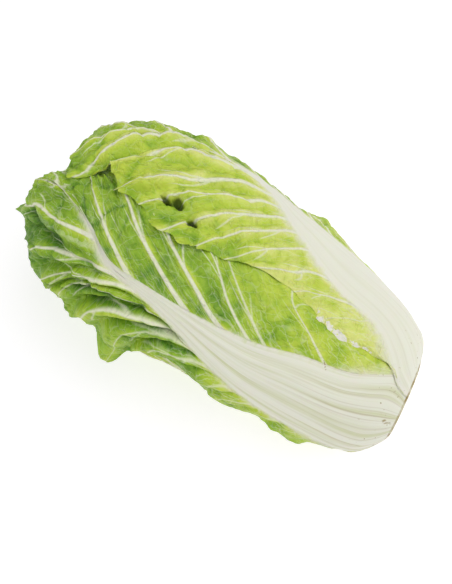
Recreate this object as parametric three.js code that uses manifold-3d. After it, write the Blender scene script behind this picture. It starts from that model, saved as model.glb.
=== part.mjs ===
// A napa cabbage lying on its side: a short cut stem, a closed heart and six
// wrapping leaves, each leaf a separate solid. Millimetres, +Z up. The head lies
// along X with the cut stem at +X, and the origin is the point that it rests on.

import * as THREE from 'three';
import { mergeVertices } from 'three/addons/utils/BufferGeometryUtils.js';
import Module from 'manifold-3d';

const wasm = await Module();
wasm.setup();

// ---- Driving dimensions (mm and degrees) ------------------------------------

// The head's outer profile from the cut to the tip, as [distance along, radius].
const PROFILE = [
  [-3, 17], [0, 25], [4, 37], [12, 48], [30, 58.5], [60, 67], [100, 74], [145, 79],
  [185, 82], [220, 80.5], [252, 72], [278, 58.5], [296, 42], [307, 22], [310.5, 0.2],
];
const CUT_X = 154;            // the plane of the stem cut
const AXIS_HEIGHT = 44.3;     // height of the head's axis at the cut
const AXIS_SLOPE = 0.105;     // rise of the axis towards the tip, mm per mm
const SQUASH = 0.9;           // the head is this much lower than it is wide
const SETTLE = 8;             // how far its own weight flattens the underside
const SETTLE_HEIGHT = 40;     // the flattening fades out at this height
const TUCK = 0.11;            // how far the low front side is drawn in, of the radius
const TUCK_ANGLE = [108, 38]; // where around the head, and how widely
const TUCK_ALONG = [135, 62]; // where along the head, and how widely

const STACK = 18.5;           // depth of the wrapping leaves, outer face to heart
const STACK_AT_CUT = 12;
const LEAF_GAP = 1.0;         // air between one leaf and the next
const CUT_GAP = 1.3;          // the same where the leaf bases turn in to the cut
const FACET_REACH = 14;       // longest facet of a leaf
const BLEND_REACH = 6;        // smoothing of a leaf over what it lies on

const BLADE = 1.3;            // blade thickness
const RIB_THICKNESS = [[-8, 5], [20, 6.5], [80, 6], [140, 4.6], [180, 3.2], [220, 2.1], [320, 1.5]];
// Half of a midrib's width, by its distance from the cut.
const RIB_WIDTH = [
  [-8, 17], [8, 26], [20, 33], [52, 30], [84, 27], [115, 21], [141, 16], [165, 10], [195, 5.5], [230, 3],
  [320, 1.2],
];
const NOTCH = 0.05;           // how far the leaf edge is cut in between two veins

const RIB_SEGMENTS = 4;       // facets across a midrib
const BLADE_SEGMENTS = 4;     // facets from a midrib to the leaf edge
const BASE_ROWS = [-7, -1, 4, 9, 16];  // rows across the bare leaf base

const STEM_END = 26;          // length of the short stem core
const STEM_GAP = 0.6;
const ROOT_DEPTH = 2.5;       // how deep a heart leaf is rooted in the heart

// A leaf's veins, from its base to its tip: where each one leaves the midrib, and
// where it meets the edge, as a distance along the head and an angle from the midrib.
const VEIN_START = [24, 45, 63, 82, 101, 119, 135, 149, 162, 178, 198, 222, 250, 284];
const EDGE_ALONG = [34, 62, 90, 116, 142, 165, 187, 208, 229, 250, 271, 291, 307, 316];
const VEIN_BOW = [0.5, 0.36];  // how far forward, and out, a vein runs before it bends
const EDGE_REACH = [36, 43, 45, 45, 47, 50, 53, 55, 56, 55, 50, 40, 22, 0];

// ---- Small helpers ----------------------------------------------------------

const radians = THREE.MathUtils.degToRad;
const { clamp, lerp } = THREE.MathUtils;
const smooth = THREE.MathUtils.smoothstep;

// A smooth value through [position, value] stations.
function along(stations, at) {
  const last = stations.length - 1;
  if (at <= stations[0][0]) return stations[0][1];
  if (at >= stations[last][0]) return stations[last][1];
  let i = 0;
  while (at > stations[i + 1][0]) i += 1;
  const [x0, y0] = stations[i];
  const [x1, y1] = stations[i + 1];
  const slope = (k) => {
    const a = stations[Math.max(k - 1, 0)];
    const b = stations[Math.min(k + 1, last)];
    return (b[1] - a[1]) / (b[0] - a[0]);
  };
  const h = x1 - x0;
  const t = (at - x0) / h;
  return (1 + 2 * t) * (1 - t) ** 2 * y0 + t * (1 - t) ** 2 * h * slope(i)
    + t * t * (3 - 2 * t) * y1 - t * t * (1 - t) * h * slope(i + 1);
}

// ---- The space that the head's layers are laid in ---------------------------
// A place is given by its distance p along the outer profile from the cut, its
// angle around the axis (0 at the top, 90 at the front) and its height above the
// outer profile, which is below zero inside the head.

const profileCurve = new THREE.CatmullRomCurve3(
  PROFILE.map(([x, r]) => new THREE.Vector3(x, r, 0)), false, 'centripetal');
profileCurve.arcLengthDivisions = 1200;
const PROFILE_STEPS = 800;
const profilePoints = profileCurve.getSpacedPoints(PROFILE_STEPS);
const profileStep = profileCurve.getLength() / PROFILE_STEPS;
const cutIndex = profilePoints.findIndex((point) => point.x >= 0);
const HEAD_START = -cutIndex * profileStep;
const HEAD_END = HEAD_START + profileCurve.getLength();

function profileAt(p) {
  const at = clamp((p - HEAD_START) / profileStep, 0, PROFILE_STEPS - 1e-6);
  const i = Math.floor(at);
  return profilePoints[i].clone().lerp(profilePoints[i + 1], at - i);
}

function radiusAt(p) {
  return profileAt(p).y;
}

// The direction in which height is measured: straight out from the axis at the
// cut, and square to the profile further along.
function outwardAt(p) {
  const run = profileAt(p + 2).sub(profileAt(p - 2)).normalize();
  const square = new THREE.Vector3(-run.y, run.x, 0);
  const share = smooth(p, -5, 40);
  return new THREE.Vector3(0, 1, 0).lerp(square, share).normalize();
}

// From a distance along the axis, a radius and an angle to the head's own frame.
function place(x, fullRadius, angle) {
  const turn = radians(angle);
  const apart = ((angle - TUCK_ANGLE[0] + 540) % 360) - 180;
  const offset = (x - TUCK_ALONG[0]) / TUCK_ALONG[1];
  const tuck = TUCK * Math.exp(-((apart / TUCK_ANGLE[1]) ** 2) - offset ** 2);
  const radius = fullRadius * (1 - tuck);
  let z = AXIS_HEIGHT + AXIS_SLOPE * x + radius * Math.cos(turn) * SQUASH;
  if (z < SETTLE_HEIGHT) z += SETTLE * ((SETTLE_HEIGHT - z) / (SETTLE_HEIGHT + SETTLE)) ** 2;
  return new THREE.Vector3(CUT_X - x, -radius * Math.sin(turn), z);
}

function headPoint(p, angle, height) {
  const point = profileAt(p).addScaledVector(outwardAt(p), height);
  return place(point.x, Math.max(point.y, 0), angle);
}

const degreesPerMm = (p) => 180 / (Math.PI * Math.max(radiusAt(p), 6));

// ---- Height of what is already in place, over the whole head ----------------

class Cover {
  static step = 3;    // mm along the head
  static turn = 3;    // degrees around it
  static start = -12;
  static rows = 134;
  static columns = 120;

  constructor(heightAt) {
    this.heights = new Float64Array(Cover.rows * Cover.columns);
    for (let i = 0; i < Cover.rows; i += 1) {
      const height = heightAt(Cover.start + i * Cover.step);
      this.heights.fill(height, i * Cover.columns, (i + 1) * Cover.columns);
    }
  }

  index(i, j) {
    const column = ((j % Cover.columns) + Cover.columns) % Cover.columns;
    return clamp(i, 0, Cover.rows - 1) * Cover.columns + column;
  }

  at(p, angle) {
    const y = clamp((p - Cover.start) / Cover.step, 0, Cover.rows - 1.001);
    const x = angle / Cover.turn;
    const [i, j] = [Math.floor(y), Math.floor(x)];
    const [v, u] = [y - i, x - j];
    const h = (di, dj) => this.heights[this.index(i + di, j + dj)];
    return (h(0, 0) * (1 - u) + h(0, 1) * u) * (1 - v) + (h(1, 0) * (1 - u) + h(1, 1) * u) * v;
  }

  // Raises the cover to a triangle whose corners are {p, angle, height}.
  raise(a, b, c) {
    const rows = [a.p, b.p, c.p].map((p) => (p - Cover.start) / Cover.step);
    const columns = [a.angle, b.angle, c.angle].map((angle) => angle / Cover.turn);
    const area = (columns[1] - columns[0]) * (rows[2] - rows[0])
      - (columns[2] - columns[0]) * (rows[1] - rows[0]);
    if (Math.abs(area) < 1e-9) return;
    for (let i = Math.floor(Math.min(...rows)); i <= Math.ceil(Math.max(...rows)); i += 1) {
      for (let j = Math.floor(Math.min(...columns)); j <= Math.ceil(Math.max(...columns)); j += 1) {
        const u = ((j - columns[0]) * (rows[2] - rows[0]) - (columns[2] - columns[0]) * (i - rows[0])) / area;
        const v = ((columns[1] - columns[0]) * (i - rows[0]) - (j - columns[0]) * (rows[1] - rows[0])) / area;
        if (u < -0.05 || v < -0.05 || u + v > 1.05) continue;
        const k = this.index(i, j);
        const height = a.height + u * (b.height - a.height) + v * (c.height - a.height);
        this.heights[k] = Math.max(this.heights[k], height);
      }
    }
  }

  // The highest (or the mean) height within a reach in mm, along and then around.
  filtered(reach, mean) {
    const pass = (source, span) => {
      const result = new Float64Array(source.length);
      for (let i = 0; i < Cover.rows; i += 1) {
        const count = span(i);
        for (let j = 0; j < Cover.columns; j += 1) {
          let best = -Infinity;
          let sum = 0;
          for (let k = -count.size; k <= count.size; k += 1) {
            const value = source[count.around ? this.index(i, j + k) : this.index(i + k, j)];
            best = Math.max(best, value);
            sum += value;
          }
          result[i * Cover.columns + j] = mean ? sum / (2 * count.size + 1) : best;
        }
      }
      return result;
    };
    const alongHead = pass(this.heights, () => ({ size: Math.round(reach / Cover.step), around: false }));
    const result = new Cover(() => 0);
    result.heights = pass(alongHead, (i) => {
      const degrees = reach * degreesPerMm(Cover.start + i * Cover.step);
      return { size: Math.min(Math.round(degrees / Cover.turn), 30), around: true };
    });
    return result;
  }
}

// ---- Leaves -----------------------------------------------------------------

// A leaf with its edge at the usual reach on both sides of a midrib.
function wrappingLeaf(name, colour, angle, { reach = 1, length = 1, sway = 0, ...rest } = {}) {
  const stretched = (p) => p + (length - 1) * Math.max(p - 150, 0) * 2;
  const edge = (side) => EDGE_ALONG.map((p, k) => [
    k,
    stretched(p) + 3 * Math.sin(1.7 * k + angle),
    angle + sway * (k / 13) ** 2
      + side * EDGE_REACH[k] * reach * (1 + 0.05 * Math.sin(2.3 * k + side + angle)),
  ]);
  const [high, low] = [edge(1), edge(-1)];
  low[low.length - 1] = high[high.length - 1];
  return {
    name,
    colour,
    centre: [[-8, angle], [150, angle], [stretched(316), angle + sway]],
    ribScale: 0.8,
    start: { high: VEIN_START.map(stretched), low: VEIN_START.map(stretched) },
    edge: { high, low },
    pleat: { high: [[0, 1.5], [5, 3], [13, 3]], low: [[0, 1.5], [5, 3], [13, 3]] },
    flare: { high: [[0, 0], [13, 0]], low: [[0, 0], [13, 0]] },
    ...rest,
  };
}

// The heart's own leaves, which grow out of it.
const HEART_LEAVES = [60, -60, 180].map((angle) => wrappingLeaf('heart_leaf', '#e3e8a8', angle, {
  length: 1.13, reach: 0.95, sway: 20, ribScale: 0.5, rooted: true,
}));

// Innermost first: each leaf lies on the ones before it.
const LEAVES = [
  wrappingLeaf('leaf_inner_top', '#c6d98a', 8, { length: 1.09, sway: 6 }),
  wrappingLeaf('leaf_inner_back', '#c3d67f', -108, { length: 1.1, sway: -10 }),
  wrappingLeaf('leaf_inner_front', '#bcd276', 122, { length: 1.08, sway: -6 }),
  wrappingLeaf('leaf_under', '#a9c662', 180, { reach: 1.1, length: 1.03, ribScale: 0.95 }),
  {
    name: 'leaf_front',
    colour: '#8fb845',
    centre: [
      [-8, 51], [20, 51], [84, 51.5], [115, 52.5], [140, 50], [167, 46], [195, 43], [228, 41], [245, 34],
      [262, 28], [282, 22], [320, 28],
    ],
    ribScale: 1.1,
    start: {
      high: [24, 44, 62, 80, 98, 116, 130, 143, 151, 166, 204, 222, 246, 290],
      low: [26, 45, 69, 90, 109, 120, 141, 153, 167, 190, 212, 240, 262, 290],
    },
    edge: {
      high: [
        [0, 34, 92], [1, 60, 98], [2, 84, 97], [3, 106, 96], [4, 128, 97], [5, 150, 96], [6, 176, 97],
        [7, 202, 103], [8, 224, 95], [9, 246, 91], [9.5, 257, 80], [10, 272, 89], [10.5, 292, 95],
        [11, 320, 78], [11.5, 338, 72], [12, 326, 54], [12.5, 319, 42], [13, 316, 30],
      ],
      low: [
        [0, 40, 4], [1, 80, -6], [2, 128, -10], [3, 156, -11], [4, 184, -9], [5, 198, -8], [6, 236, -3],
        [7, 247, -1], [8, 258, 1], [9, 269, 3], [10, 278, 6], [11, 291, 10], [12, 306, 17], [13, 316, 30],
      ],
    },
    bow: { high: [0.72, 0.18], low: [0.5, 0.42] },
    pleat: { high: [[0, 1.5], [5, 4], [7, 6.5], [10, 6], [13, 3]], low: [[0, 1.5], [5, 3], [13, 3]] },
    flare: { high: [[0, 1], [1, 4], [4, 3], [7, 3], [13, 3]], low: [[0, 0], [10, 0], [13, 2]] },
  },
  {
    name: 'leaf_top',
    colour: '#c5db6e',
    centre: [
      [-8, -50], [20, -50], [60, -46], [88, -42], [108, -42], [129, -45], [147, -48], [169, -55], [190, -56],
      [205, -50], [235, -42], [265, -40], [320, -42],
    ],
    ribScale: 1.1,
    start: {
      high: [24, 45, 62, 74, 99, 122, 136, 147, 156, 166, 183, 206, 240, 285],
      low: [24, 45, 62, 78, 99, 120, 136, 148, 158, 168, 185, 208, 240, 285],
    },
    edge: {
      high: [
        [0, 30, -8], [1, 53, 2], [2, 80, 4], [3, 112, -1], [4, 143, 1], [5, 163, 7], [6, 184, 11],
        [7, 206, 12], [8, 232, 7], [9, 250, 5], [10, 270, -3], [11, 292, 14], [11.5, 300, 4],
        [12, 307, -12], [12.5, 306, -28], [13, 312, -42],
      ],
      low: [
        [0, 34, -95], [1, 60, -93], [2, 88, -92], [3, 114, -88], [4, 146, -90], [5, 166, -96],
        [6, 186, -102], [7, 206, -106], [8, 228, -108], [9, 248, -108], [10, 268, -104], [11, 288, -92],
        [12, 303, -66], [13, 312, -42],
      ],
    },
    bow: { high: [0.5, 0.36], low: [0.5, 0.36] },
    pleat: { high: [[0, 1.5], [4, 3.5], [8, 5], [13, 3.5]], low: [[0, 1.5], [5, 4], [13, 3.5]] },
    flare: { high: [[0, 0], [4, 1.5], [13, 1.5]], low: [[0, 1], [3, 8], [4.5, 13], [6, 5], [8, 2], [13, 2]] },
  },
];

// Places along a leaf, base to tip: rows across the bare base, then a row along
// each vein and one along each valley between two veins.
function leafRows(leaf) {
  const rows = BASE_ROWS.map((p) => ({ p, vein: 0, bare: true }));
  const step = leaf.rooted ? 1 : 0.5;
  for (let vein = 0; vein <= leaf.start.high.length - 1; vein += step) rows.push({ vein, bare: false });
  return rows;
}

// A value of one half of the blade. The halves grow alike towards the tip, where
// they meet.
function sharedValue(leaf, side, row, valueOf) {
  const tip = leaf.start.high.length - 1;
  const even = smooth(row.vein, tip - 2, tip) / 2;
  const [own, other] = side > 0 ? ['high', 'low'] : ['low', 'high'];
  return lerp(valueOf(own), valueOf(other), even);
}

const indexed = (list) => list.map((value, k) => [k, value]);

// One point of a leaf's flat layout. across is -1 at the low edge of the blade,
// 0 on the middle of the midrib and 1 at the high edge; its middle part is the rib.
function leafPlace(leaf, row, side, share, onRib) {
  const key = side > 0 ? 'high' : 'low';
  const start = row.bare ? row.p : along(indexed(leaf.start[key]), row.vein);
  const tip = leaf.start[key].length - 1;
  const taper = 1 - smooth(row.vein, tip - 2, tip);
  const half = along(RIB_WIDTH, start) * leaf.ribScale * taper * degreesPerMm(start);
  const middle = along(leaf.centre, start);
  if (onRib) return { p: start, angle: middle + side * half * share, share: 0 };
  if (row.bare) return { p: start, angle: middle + side * half, share: 0 };
  const edgeP = along(leaf.edge[key].map(([vein, p]) => [vein, p]), row.vein);
  const edgeAngle = along(leaf.edge[key].map(([vein, , turn]) => [vein, turn]), row.vein);
  const bowOf = (half) => (leaf.bow ? leaf.bow[half] : VEIN_BOW);
  const ahead = sharedValue(leaf, side, row, (half) => bowOf(half)[0]);
  const aside = sharedValue(leaf, side, row, (half) => bowOf(half)[1]);
  const valley = Math.abs(row.vein % 1) > 0.25 ? 1 : 0;
  const t = share * (1 - NOTCH * valley);
  const angle = middle + side * half;
  // The vein leaves the midrib steeply forward and then bends out to the edge.
  return {
    p: start + (edgeP - start) * (2 * t * (1 - t) * ahead + t * t),
    angle: angle + (edgeAngle - angle) * (2 * t * (1 - t) * aside + t * t),
    share,
  };
}

function leafSolid(leaf, cover) {
  const highest = cover.filtered(FACET_REACH + BLEND_REACH, false);
  const bed = leaf.rooted ? cover : highest.filtered(BLEND_REACH, true);
  const rows = leafRows(leaf);
  const columns = RIB_SEGMENTS + 2 * BLADE_SEGMENTS;
  // A flat sheet gives the layout: its u runs across the leaf and its v along it.
  const sheet = new THREE.PlaneGeometry(1, 1, columns, rows.length - 1);
  const uv = sheet.getAttribute('uv');
  const count = uv.count;
  const outer = [];
  const inner = [];
  for (let k = 0; k < count; k += 1) {
    const column = Math.round(uv.getX(k) * columns) - columns / 2;
    const row = rows[Math.round((1 - uv.getY(k)) * (rows.length - 1))];
    const side = column < 0 ? -1 : 1;
    const steps = Math.abs(column);
    const onRib = steps <= RIB_SEGMENTS / 2;
    const share = onRib ? steps / (RIB_SEGMENTS / 2) : (steps - RIB_SEGMENTS / 2) / BLADE_SEGMENTS;
    const spot = leafPlace(leaf, row, side, share, onRib);
    const bladeShare = onRib ? 0 : share;
    const ridge = 0.5 + 0.5 * Math.cos(2 * Math.PI * row.vein);
    const pleat = sharedValue(leaf, side, row, (half) => along(leaf.pleat[half], row.vein));
    const flare = sharedValue(leaf, side, row, (half) => along(leaf.flare[half], row.vein));
    const lift = pleat * ridge * smooth(bladeShare, 0, 0.5) + flare * bladeShare ** 2;
    const gap = spot.p < 20 ? CUT_GAP : LEAF_GAP;
    const rise = row.bare ? 0 : lift;
    const low = bed.at(spot.p, spot.angle) + gap + rise;
    const rib = onRib ? 1 - share ** 2.5 : 0;
    const thickness = BLADE + (Math.max(along(RIB_THICKNESS, spot.p), BLADE) - BLADE) * rib * leaf.ribScale;
    inner.push({ ...spot, height: leaf.rooted ? low - gap - rise - ROOT_DEPTH : low });
    outer.push({ ...spot, height: low + thickness });
  }
  const index = sheet.getIndex().array;
  for (let k = 0; k < index.length; k += 3) {
    cover.raise(outer[index[k]], outer[index[k + 1]], outer[index[k + 2]]);
  }

  const positions = [...outer, ...inner].flatMap((at) => headPoint(at.p, at.angle, at.height).toArray());
  const faces = [];
  for (let k = 0; k < index.length; k += 3) {
    const [a, b, c] = [index[k], index[k + 1], index[k + 2]];
    faces.push(a, b, c, count + a, count + c, count + b);
  }
  // Walls close the sheet along its base and its two edges; at the tip its two
  // halves meet and need none.
  const wall = (a, b) => faces.push(a, count + a, b, b, count + a, count + b);
  for (let j = 0; j < columns; j += 1) wall(j + 1, j);
  for (let i = 0; i < rows.length - 1; i += 1) {
    const line = columns + 1;
    wall(i * line, (i + 1) * line);
    wall((i + 1) * line + columns, i * line + columns);
  }
  return solidFrom(positions, faces);
}

// ---- Solids -----------------------------------------------------------------

function solidFrom(positions, faces) {
  const geometry = new THREE.BufferGeometry();
  geometry.setAttribute('position', new THREE.Float32BufferAttribute(positions, 3));
  geometry.setIndex(faces);
  return solidOf(geometry);
}

// A closed three.js geometry as a solid, with its shared corners merged and the
// triangles that have closed up left out.
function solidOf(geometry) {
  const bare = geometry.clone();
  bare.deleteAttribute('normal');
  bare.deleteAttribute('uv');
  const merged = mergeVertices(bare, 1e-4);
  const corners = merged.getIndex().array;
  const faces = [];
  for (let k = 0; k < corners.length; k += 3) {
    const [a, b, c] = [corners[k], corners[k + 1], corners[k + 2]];
    if (a !== b && b !== c && c !== a) faces.push(a, b, c);
  }
  return new wasm.Manifold(new wasm.Mesh({
    numProp: 3,
    vertProperties: new Float32Array(merged.getAttribute('position').array),
    triVerts: new Uint32Array(faces),
  }));
}

// A round body about the head's axis from [distance, radius] points, laid in place.
function roundBody(points, segments, radiusScale = () => 1) {
  const lathe = new THREE.LatheGeometry(points.map(([x, r]) => new THREE.Vector2(r, x)), segments);
  const position = lathe.getAttribute('position');
  for (let k = 0; k < position.count; k += 1) {
    const [a, x, b] = [position.getX(k), position.getY(k), position.getZ(k)];
    const radius = Math.hypot(a, b);
    const angle = THREE.MathUtils.radToDeg(Math.atan2(-a, b));
    const laid = place(x, radius < 1e-6 ? 0 : radius * radiusScale(x, angle), radius < 1e-6 ? 0 : angle);
    position.setXYZ(k, laid.x, laid.y, laid.z);
  }
  return solidOf(lathe);
}

function meshOf(solid, name, colour, roughness) {
  const { vertProperties, triVerts } = solid.getMesh();
  const geometry = new THREE.BufferGeometry();
  geometry.setAttribute('position', new THREE.Float32BufferAttribute(vertProperties, 3));
  geometry.setIndex(Array.from(triVerts));
  geometry.computeVertexNormals();
  const material = new THREE.MeshStandardMaterial({ color: colour, roughness, metalness: 0 });
  const mesh = new THREE.Mesh(geometry, material);
  mesh.name = name;
  return mesh;
}

// Everything past the stem cut, and everything below the resting plane.
function boxBetween(low, high) {
  const size = new THREE.Vector3().subVectors(high, low);
  const box = new THREE.BoxGeometry(size.x, size.y, size.z);
  box.translate(...new THREE.Vector3().addVectors(low, high).multiplyScalar(0.5).toArray());
  return solidOf(box);
}

const corner = (x, y, z) => new THREE.Vector3(x, y, z);
const pastCut = boxBetween(corner(CUT_X, -200, -100), corner(CUT_X + 100, 200, 300));
const underFloor = boxBetween(corner(-400, -200, -100), corner(400, 200, 0));
const inStem = boxBetween(corner(CUT_X - STEM_END, -200, -100), corner(CUT_X + 100, 200, 300));
const trimmed = (solid) => solid.subtract(pastCut).subtract(underFloor);

// ---- Stem and heart ---------------------------------------------------------

const stackDepth = (p) => STACK_AT_CUT + (STACK - STACK_AT_CUT) * smooth(p, 0, 45);
const coreSurface = (p) => {
  const point = profileAt(p).addScaledVector(outwardAt(p), -stackDepth(p));
  return [point.x, point.y];
};
const coreStations = [];
for (let p = -2; p <= HEAD_END; p += 13) coreStations.push(coreSurface(p));

function stemSolid() {
  const side = coreStations.filter(([x]) => x > 0.5 && x < STEM_END - 2);
  const [, rEnd] = side[side.length - 1];
  const end = STEM_END - STEM_GAP;
  const points = [[0, 0], [0, coreSurface(0)[1]], ...side, [end, rEnd + 1], [end, 0]];
  return roundBody(points, 28);
}

function heartSolid() {
  const side = coreStations.filter(([x, r], k) => x > STEM_END + 3 && r > 3 && k < coreStations.length - 1);
  const tip = side[side.length - 1][0] + 3;
  const points = [[STEM_END, 0], [STEM_END, side[0][1] - 2], ...side, [tip, 0]];
  const pleats = (x, angle) => 1 - 0.05 * smooth(x, 150, 280) * (0.5 - 0.5 * Math.cos(radians(angle * 9)));
  return roundBody(points, 27, pleats);
}

// ---- The whole head ---------------------------------------------------------

const head = new THREE.Group();
head.add(meshOf(trimmed(stemSolid()), 'stem', '#e6e4cf', 0.6));

const cover = new Cover((p) => -stackDepth(p));
let heart = heartSolid();
for (const leaf of HEART_LEAVES) heart = heart.add(leafSolid(leaf, cover).subtract(inStem));
head.add(meshOf(trimmed(heart), 'heart', '#e3e8a8', 0.55));
for (const leaf of LEAVES) {
  head.add(meshOf(trimmed(leafSolid(leaf, cover)), leaf.name, leaf.colour, 0.5));
}

export default head;
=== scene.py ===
"""Dresses the napa cabbage frame: cut stem, heart, six wrapping leaves and the stage."""
import math

import bmesh
import bpy
import numpy as np
from bpy.props import FloatProperty, FloatVectorProperty, PointerProperty
from bpy.types import Operator, Panel, PropertyGroup
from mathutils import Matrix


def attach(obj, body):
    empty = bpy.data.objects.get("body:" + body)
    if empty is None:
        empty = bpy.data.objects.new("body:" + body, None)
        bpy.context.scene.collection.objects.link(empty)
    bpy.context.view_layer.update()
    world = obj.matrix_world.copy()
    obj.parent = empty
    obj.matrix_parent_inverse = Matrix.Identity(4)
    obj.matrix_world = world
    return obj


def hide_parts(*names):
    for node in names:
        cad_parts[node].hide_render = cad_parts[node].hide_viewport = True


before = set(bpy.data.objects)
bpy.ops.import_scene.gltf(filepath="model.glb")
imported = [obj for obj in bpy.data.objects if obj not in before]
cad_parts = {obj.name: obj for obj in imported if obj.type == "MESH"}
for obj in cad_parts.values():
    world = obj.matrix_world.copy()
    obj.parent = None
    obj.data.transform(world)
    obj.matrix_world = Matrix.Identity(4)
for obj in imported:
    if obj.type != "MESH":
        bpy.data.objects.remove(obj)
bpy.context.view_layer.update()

bl_info = {
    "name": "Napa Cabbage",
    "version": (1, 0, 0),
    "blender": (4, 5, 0),
    "location": "View3D > Sidebar > Cabbage",
    "description": "Leaves, heart, cut stem and studio stage for a napa cabbage lying on its side",
    "category": "Object",
}

MM = 0.001

# ---- The head's own measures, in mm and degrees ------------------------------

# Outer profile from before the cut to the tip, as (distance along the axis from the cut, radius).
PROFILE = [
    (-26, 14), (-14, 25), (-8, 30), (-4, 33), (0, 36.5), (4, 40.5), (9, 45.2), (15, 50.2), (30, 58.5),
    (60, 67), (100, 74), (145, 79), (185, 82), (220, 80.5), (252, 72), (278, 58.5), (296, 42), (307, 22),
    (310.5, 0.2),
]
BUTT = (15.0, 29.6)   # at this distance along the axis, the distance along the profile is the second
CUT_X = 154.0
CUT_TURN = 10.0   # the stem cut is turned away from the front by this much
CUT_LEAN = 7.0    # and leans over by this much
CUT_ROUND = 10.0  # how far from the cut the outside starts to round off
AXIS_HEIGHT = 44.3    # height of the axis at the cut
AXIS_SLOPE = 0.105    # and its rise towards the tip
SQUASH = 0.9          # the head is this much lower than it is wide
SETTLE = 8.0          # how far its own weight flattens the underside
SETTLE_HEIGHT = 40.0  # the flattening fades out at this height
TUCK = 0.11           # how far the low front side is drawn in, of the radius
TUCK_ANGLE = (108.0, 38.0)  # where around the head, and how widely
TUCK_ALONG = (135.0, 62.0)  # where along the head, and how widely
STEM_END = 26.0       # length of the stem core
CORE_GAP = 0.6        # air around the stem core's end and the heart core
SKIN_GAP = 0.2        # air around the stem core's side
CORE_COLUMNS = 72
HEART_START = 30.0    # radius of the heart core next to the stem core
HEART_STEP = 8.0      # from one ring of the heart core to the next
HEART_TAPER = 14.0    # how much deeper the heart core lies at the tip

CUT_NORMAL = (
    math.cos(math.radians(CUT_TURN)) * math.cos(math.radians(CUT_LEAN)),
    math.sin(math.radians(CUT_TURN)) * math.cos(math.radians(CUT_LEAN)),
    -math.sin(math.radians(CUT_LEAN)),
)

BLADE = 1.3           # thickness of a blade
RIB_WAVES = 14        # ridges across a midrib, as radians to its edge
RIB_WAVE_HEIGHT = 0.55
# A midrib's thickness and half width, by the distance along the profile.
RIB_THICKNESS = [(-8, 5), (20, 6.5), (80, 6), (140, 4.6), (180, 3.2), (220, 2.1), (320, 1.5)]
RIB_WIDTH = [
    (-14, 16), (0, 24), (8, 32), (20, 38), (34, 35), (52, 30), (84, 27), (115, 21), (141, 15), (165, 9),
    (195, 4.6), (230, 2.6), (320, 1.1),
]
# Deep gaps at the top leaf's folded margin, which the finish also darkens with painted shade: distance,
# angle, half length, half width and depth.
PITS = [(218, -2, 6.0, 1.6, 7.0), (210, -4, 4.4, 3.2, 10.0), (194, 1, 4.4, 2.4, 8.0)]
CURL_START = 0.8  # the margin rolls up from this share of the blade
LEAST_CURL = 0.02     # radians
VEIN_WIDTH = (1.7, 0.35)    # half width of a vein of power 1, at the midrib and at the margin
VEIN_WANDER = 0.19    # how far a vein strays, in veins
WIDEST_SPACING = 60.0
PIT_SEED = 77
# Distances over which something fades in, and out again.
BASE_FADE = (24, 60)      # the base, where leaves lie tight on one another
FLESH_FADE = (22, 44)     # flesh that reaches down to the layer below
FREE_FADE = (18, 62)      # a leaf is held back at its ceiling before it, and at MOST beyond it
BUTT_FADE = (0, 24)       # the envelope draws in towards the cut
BUTT_DRAWN_IN = 3.0
RIDGE_FADE_IN, RIDGE_FADE_OUT = (-5, 20), (150, 200)    # ridges of the midrib
MOST = 5.0        # a leaf that stands out further than this is held back
SWELL_MIDDLE = 0.6    # a swelling of this size neither lifts nor lowers the blade
SWELL_SHADE = 1.2     # how strongly the swellings change the tone: painted light on them, painted shade in the dents and folds between
SHARP = 1.1       # edges that turn more than this, in radians, are not shaded smooth
NOTCH = 0.02      # how far the leaf edge is cut in between two veins
FAR = 9.0         # distance given where no vein is near
SLAB_TIP = 0.49999    # corners of a slab beyond this are at its tip
IN_CUT = 0.01     # a face whose corners are all nearer to the stem cut than this lies in it
LIFTED = 0.9      # the underside of a leaf stays this far over the floor
MERGE = 1e-7      # corners closer than this, in metres, are one

# Where a common leaf's veins leave the midrib and meet the edge.
VEIN_START = [24, 45, 63, 82, 101, 119, 135, 149, 162, 178, 198, 222, 250, 284]
EDGE_ALONG = [34, 62, 90, 116, 142, 165, 187, 208, 229, 250, 271, 291, 307, 316]
EDGE_REACH = [36, 43, 45, 45, 47, 50, 53, 55, 56, 55, 50, 40, 22, 0]
VEIN_BOW = [(0, 0.5, 0.36), (13, 0.5, 0.36)]

# ---- Small helpers ------------------------------------------------------------


def smooth(value, low, high):
    """0 below low, 1 above high, and an S curve between them."""
    t = np.clip((value - low) / (high - low), 0.0, 1.0)
    return t * t * (3 - 2 * t)


def lerp(a, b, share):
    return a + (b - a) * share


def both(value):
    """The same for a leaf's high and low halves."""
    return {"high": value, "low": value}


def along(stations, at):
    """A smooth value through (position, value) stations."""
    xs = np.array([s[0] for s in stations], float)
    ys = np.array([s[1] for s in stations], float)
    slopes = np.empty_like(ys)
    slopes[1:-1] = (ys[2:] - ys[:-2]) / (xs[2:] - xs[:-2])
    slopes[0] = (ys[1] - ys[0]) / (xs[1] - xs[0])
    slopes[-1] = (ys[-1] - ys[-2]) / (xs[-1] - xs[-2])
    at = np.clip(at, xs[0], xs[-1])
    i = np.clip(np.searchsorted(xs, at, side="left") - 1, 0, len(xs) - 2)
    h = xs[i + 1] - xs[i]
    t = (at - xs[i]) / h
    return (
        (1 + 2 * t) * (1 - t) ** 2 * ys[i]
        + t * (1 - t) ** 2 * h * slopes[i]
        + t * t * (3 - 2 * t) * ys[i + 1]
        - t * t * (1 - t) * h * slopes[i + 1]
    )


def chance(i, j, seed):
    """A fixed value from 0 to 1 for each whole pair i, j."""
    n = np.asarray(i).astype(np.int64) * 374761393 + np.asarray(j).astype(np.int64) * 668265263
    n = (n + seed * 974634777) & 0xFFFFFFFF
    n = ((n ^ (n >> 13)) * 1274126177) & 0xFFFFFFFF
    n = ((n ^ (n >> 16)) * 2246822519) & 0xFFFFFFFF
    return ((n ^ (n >> 15)) & 0xFFFFFF) / float(0xFFFFFF)


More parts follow.
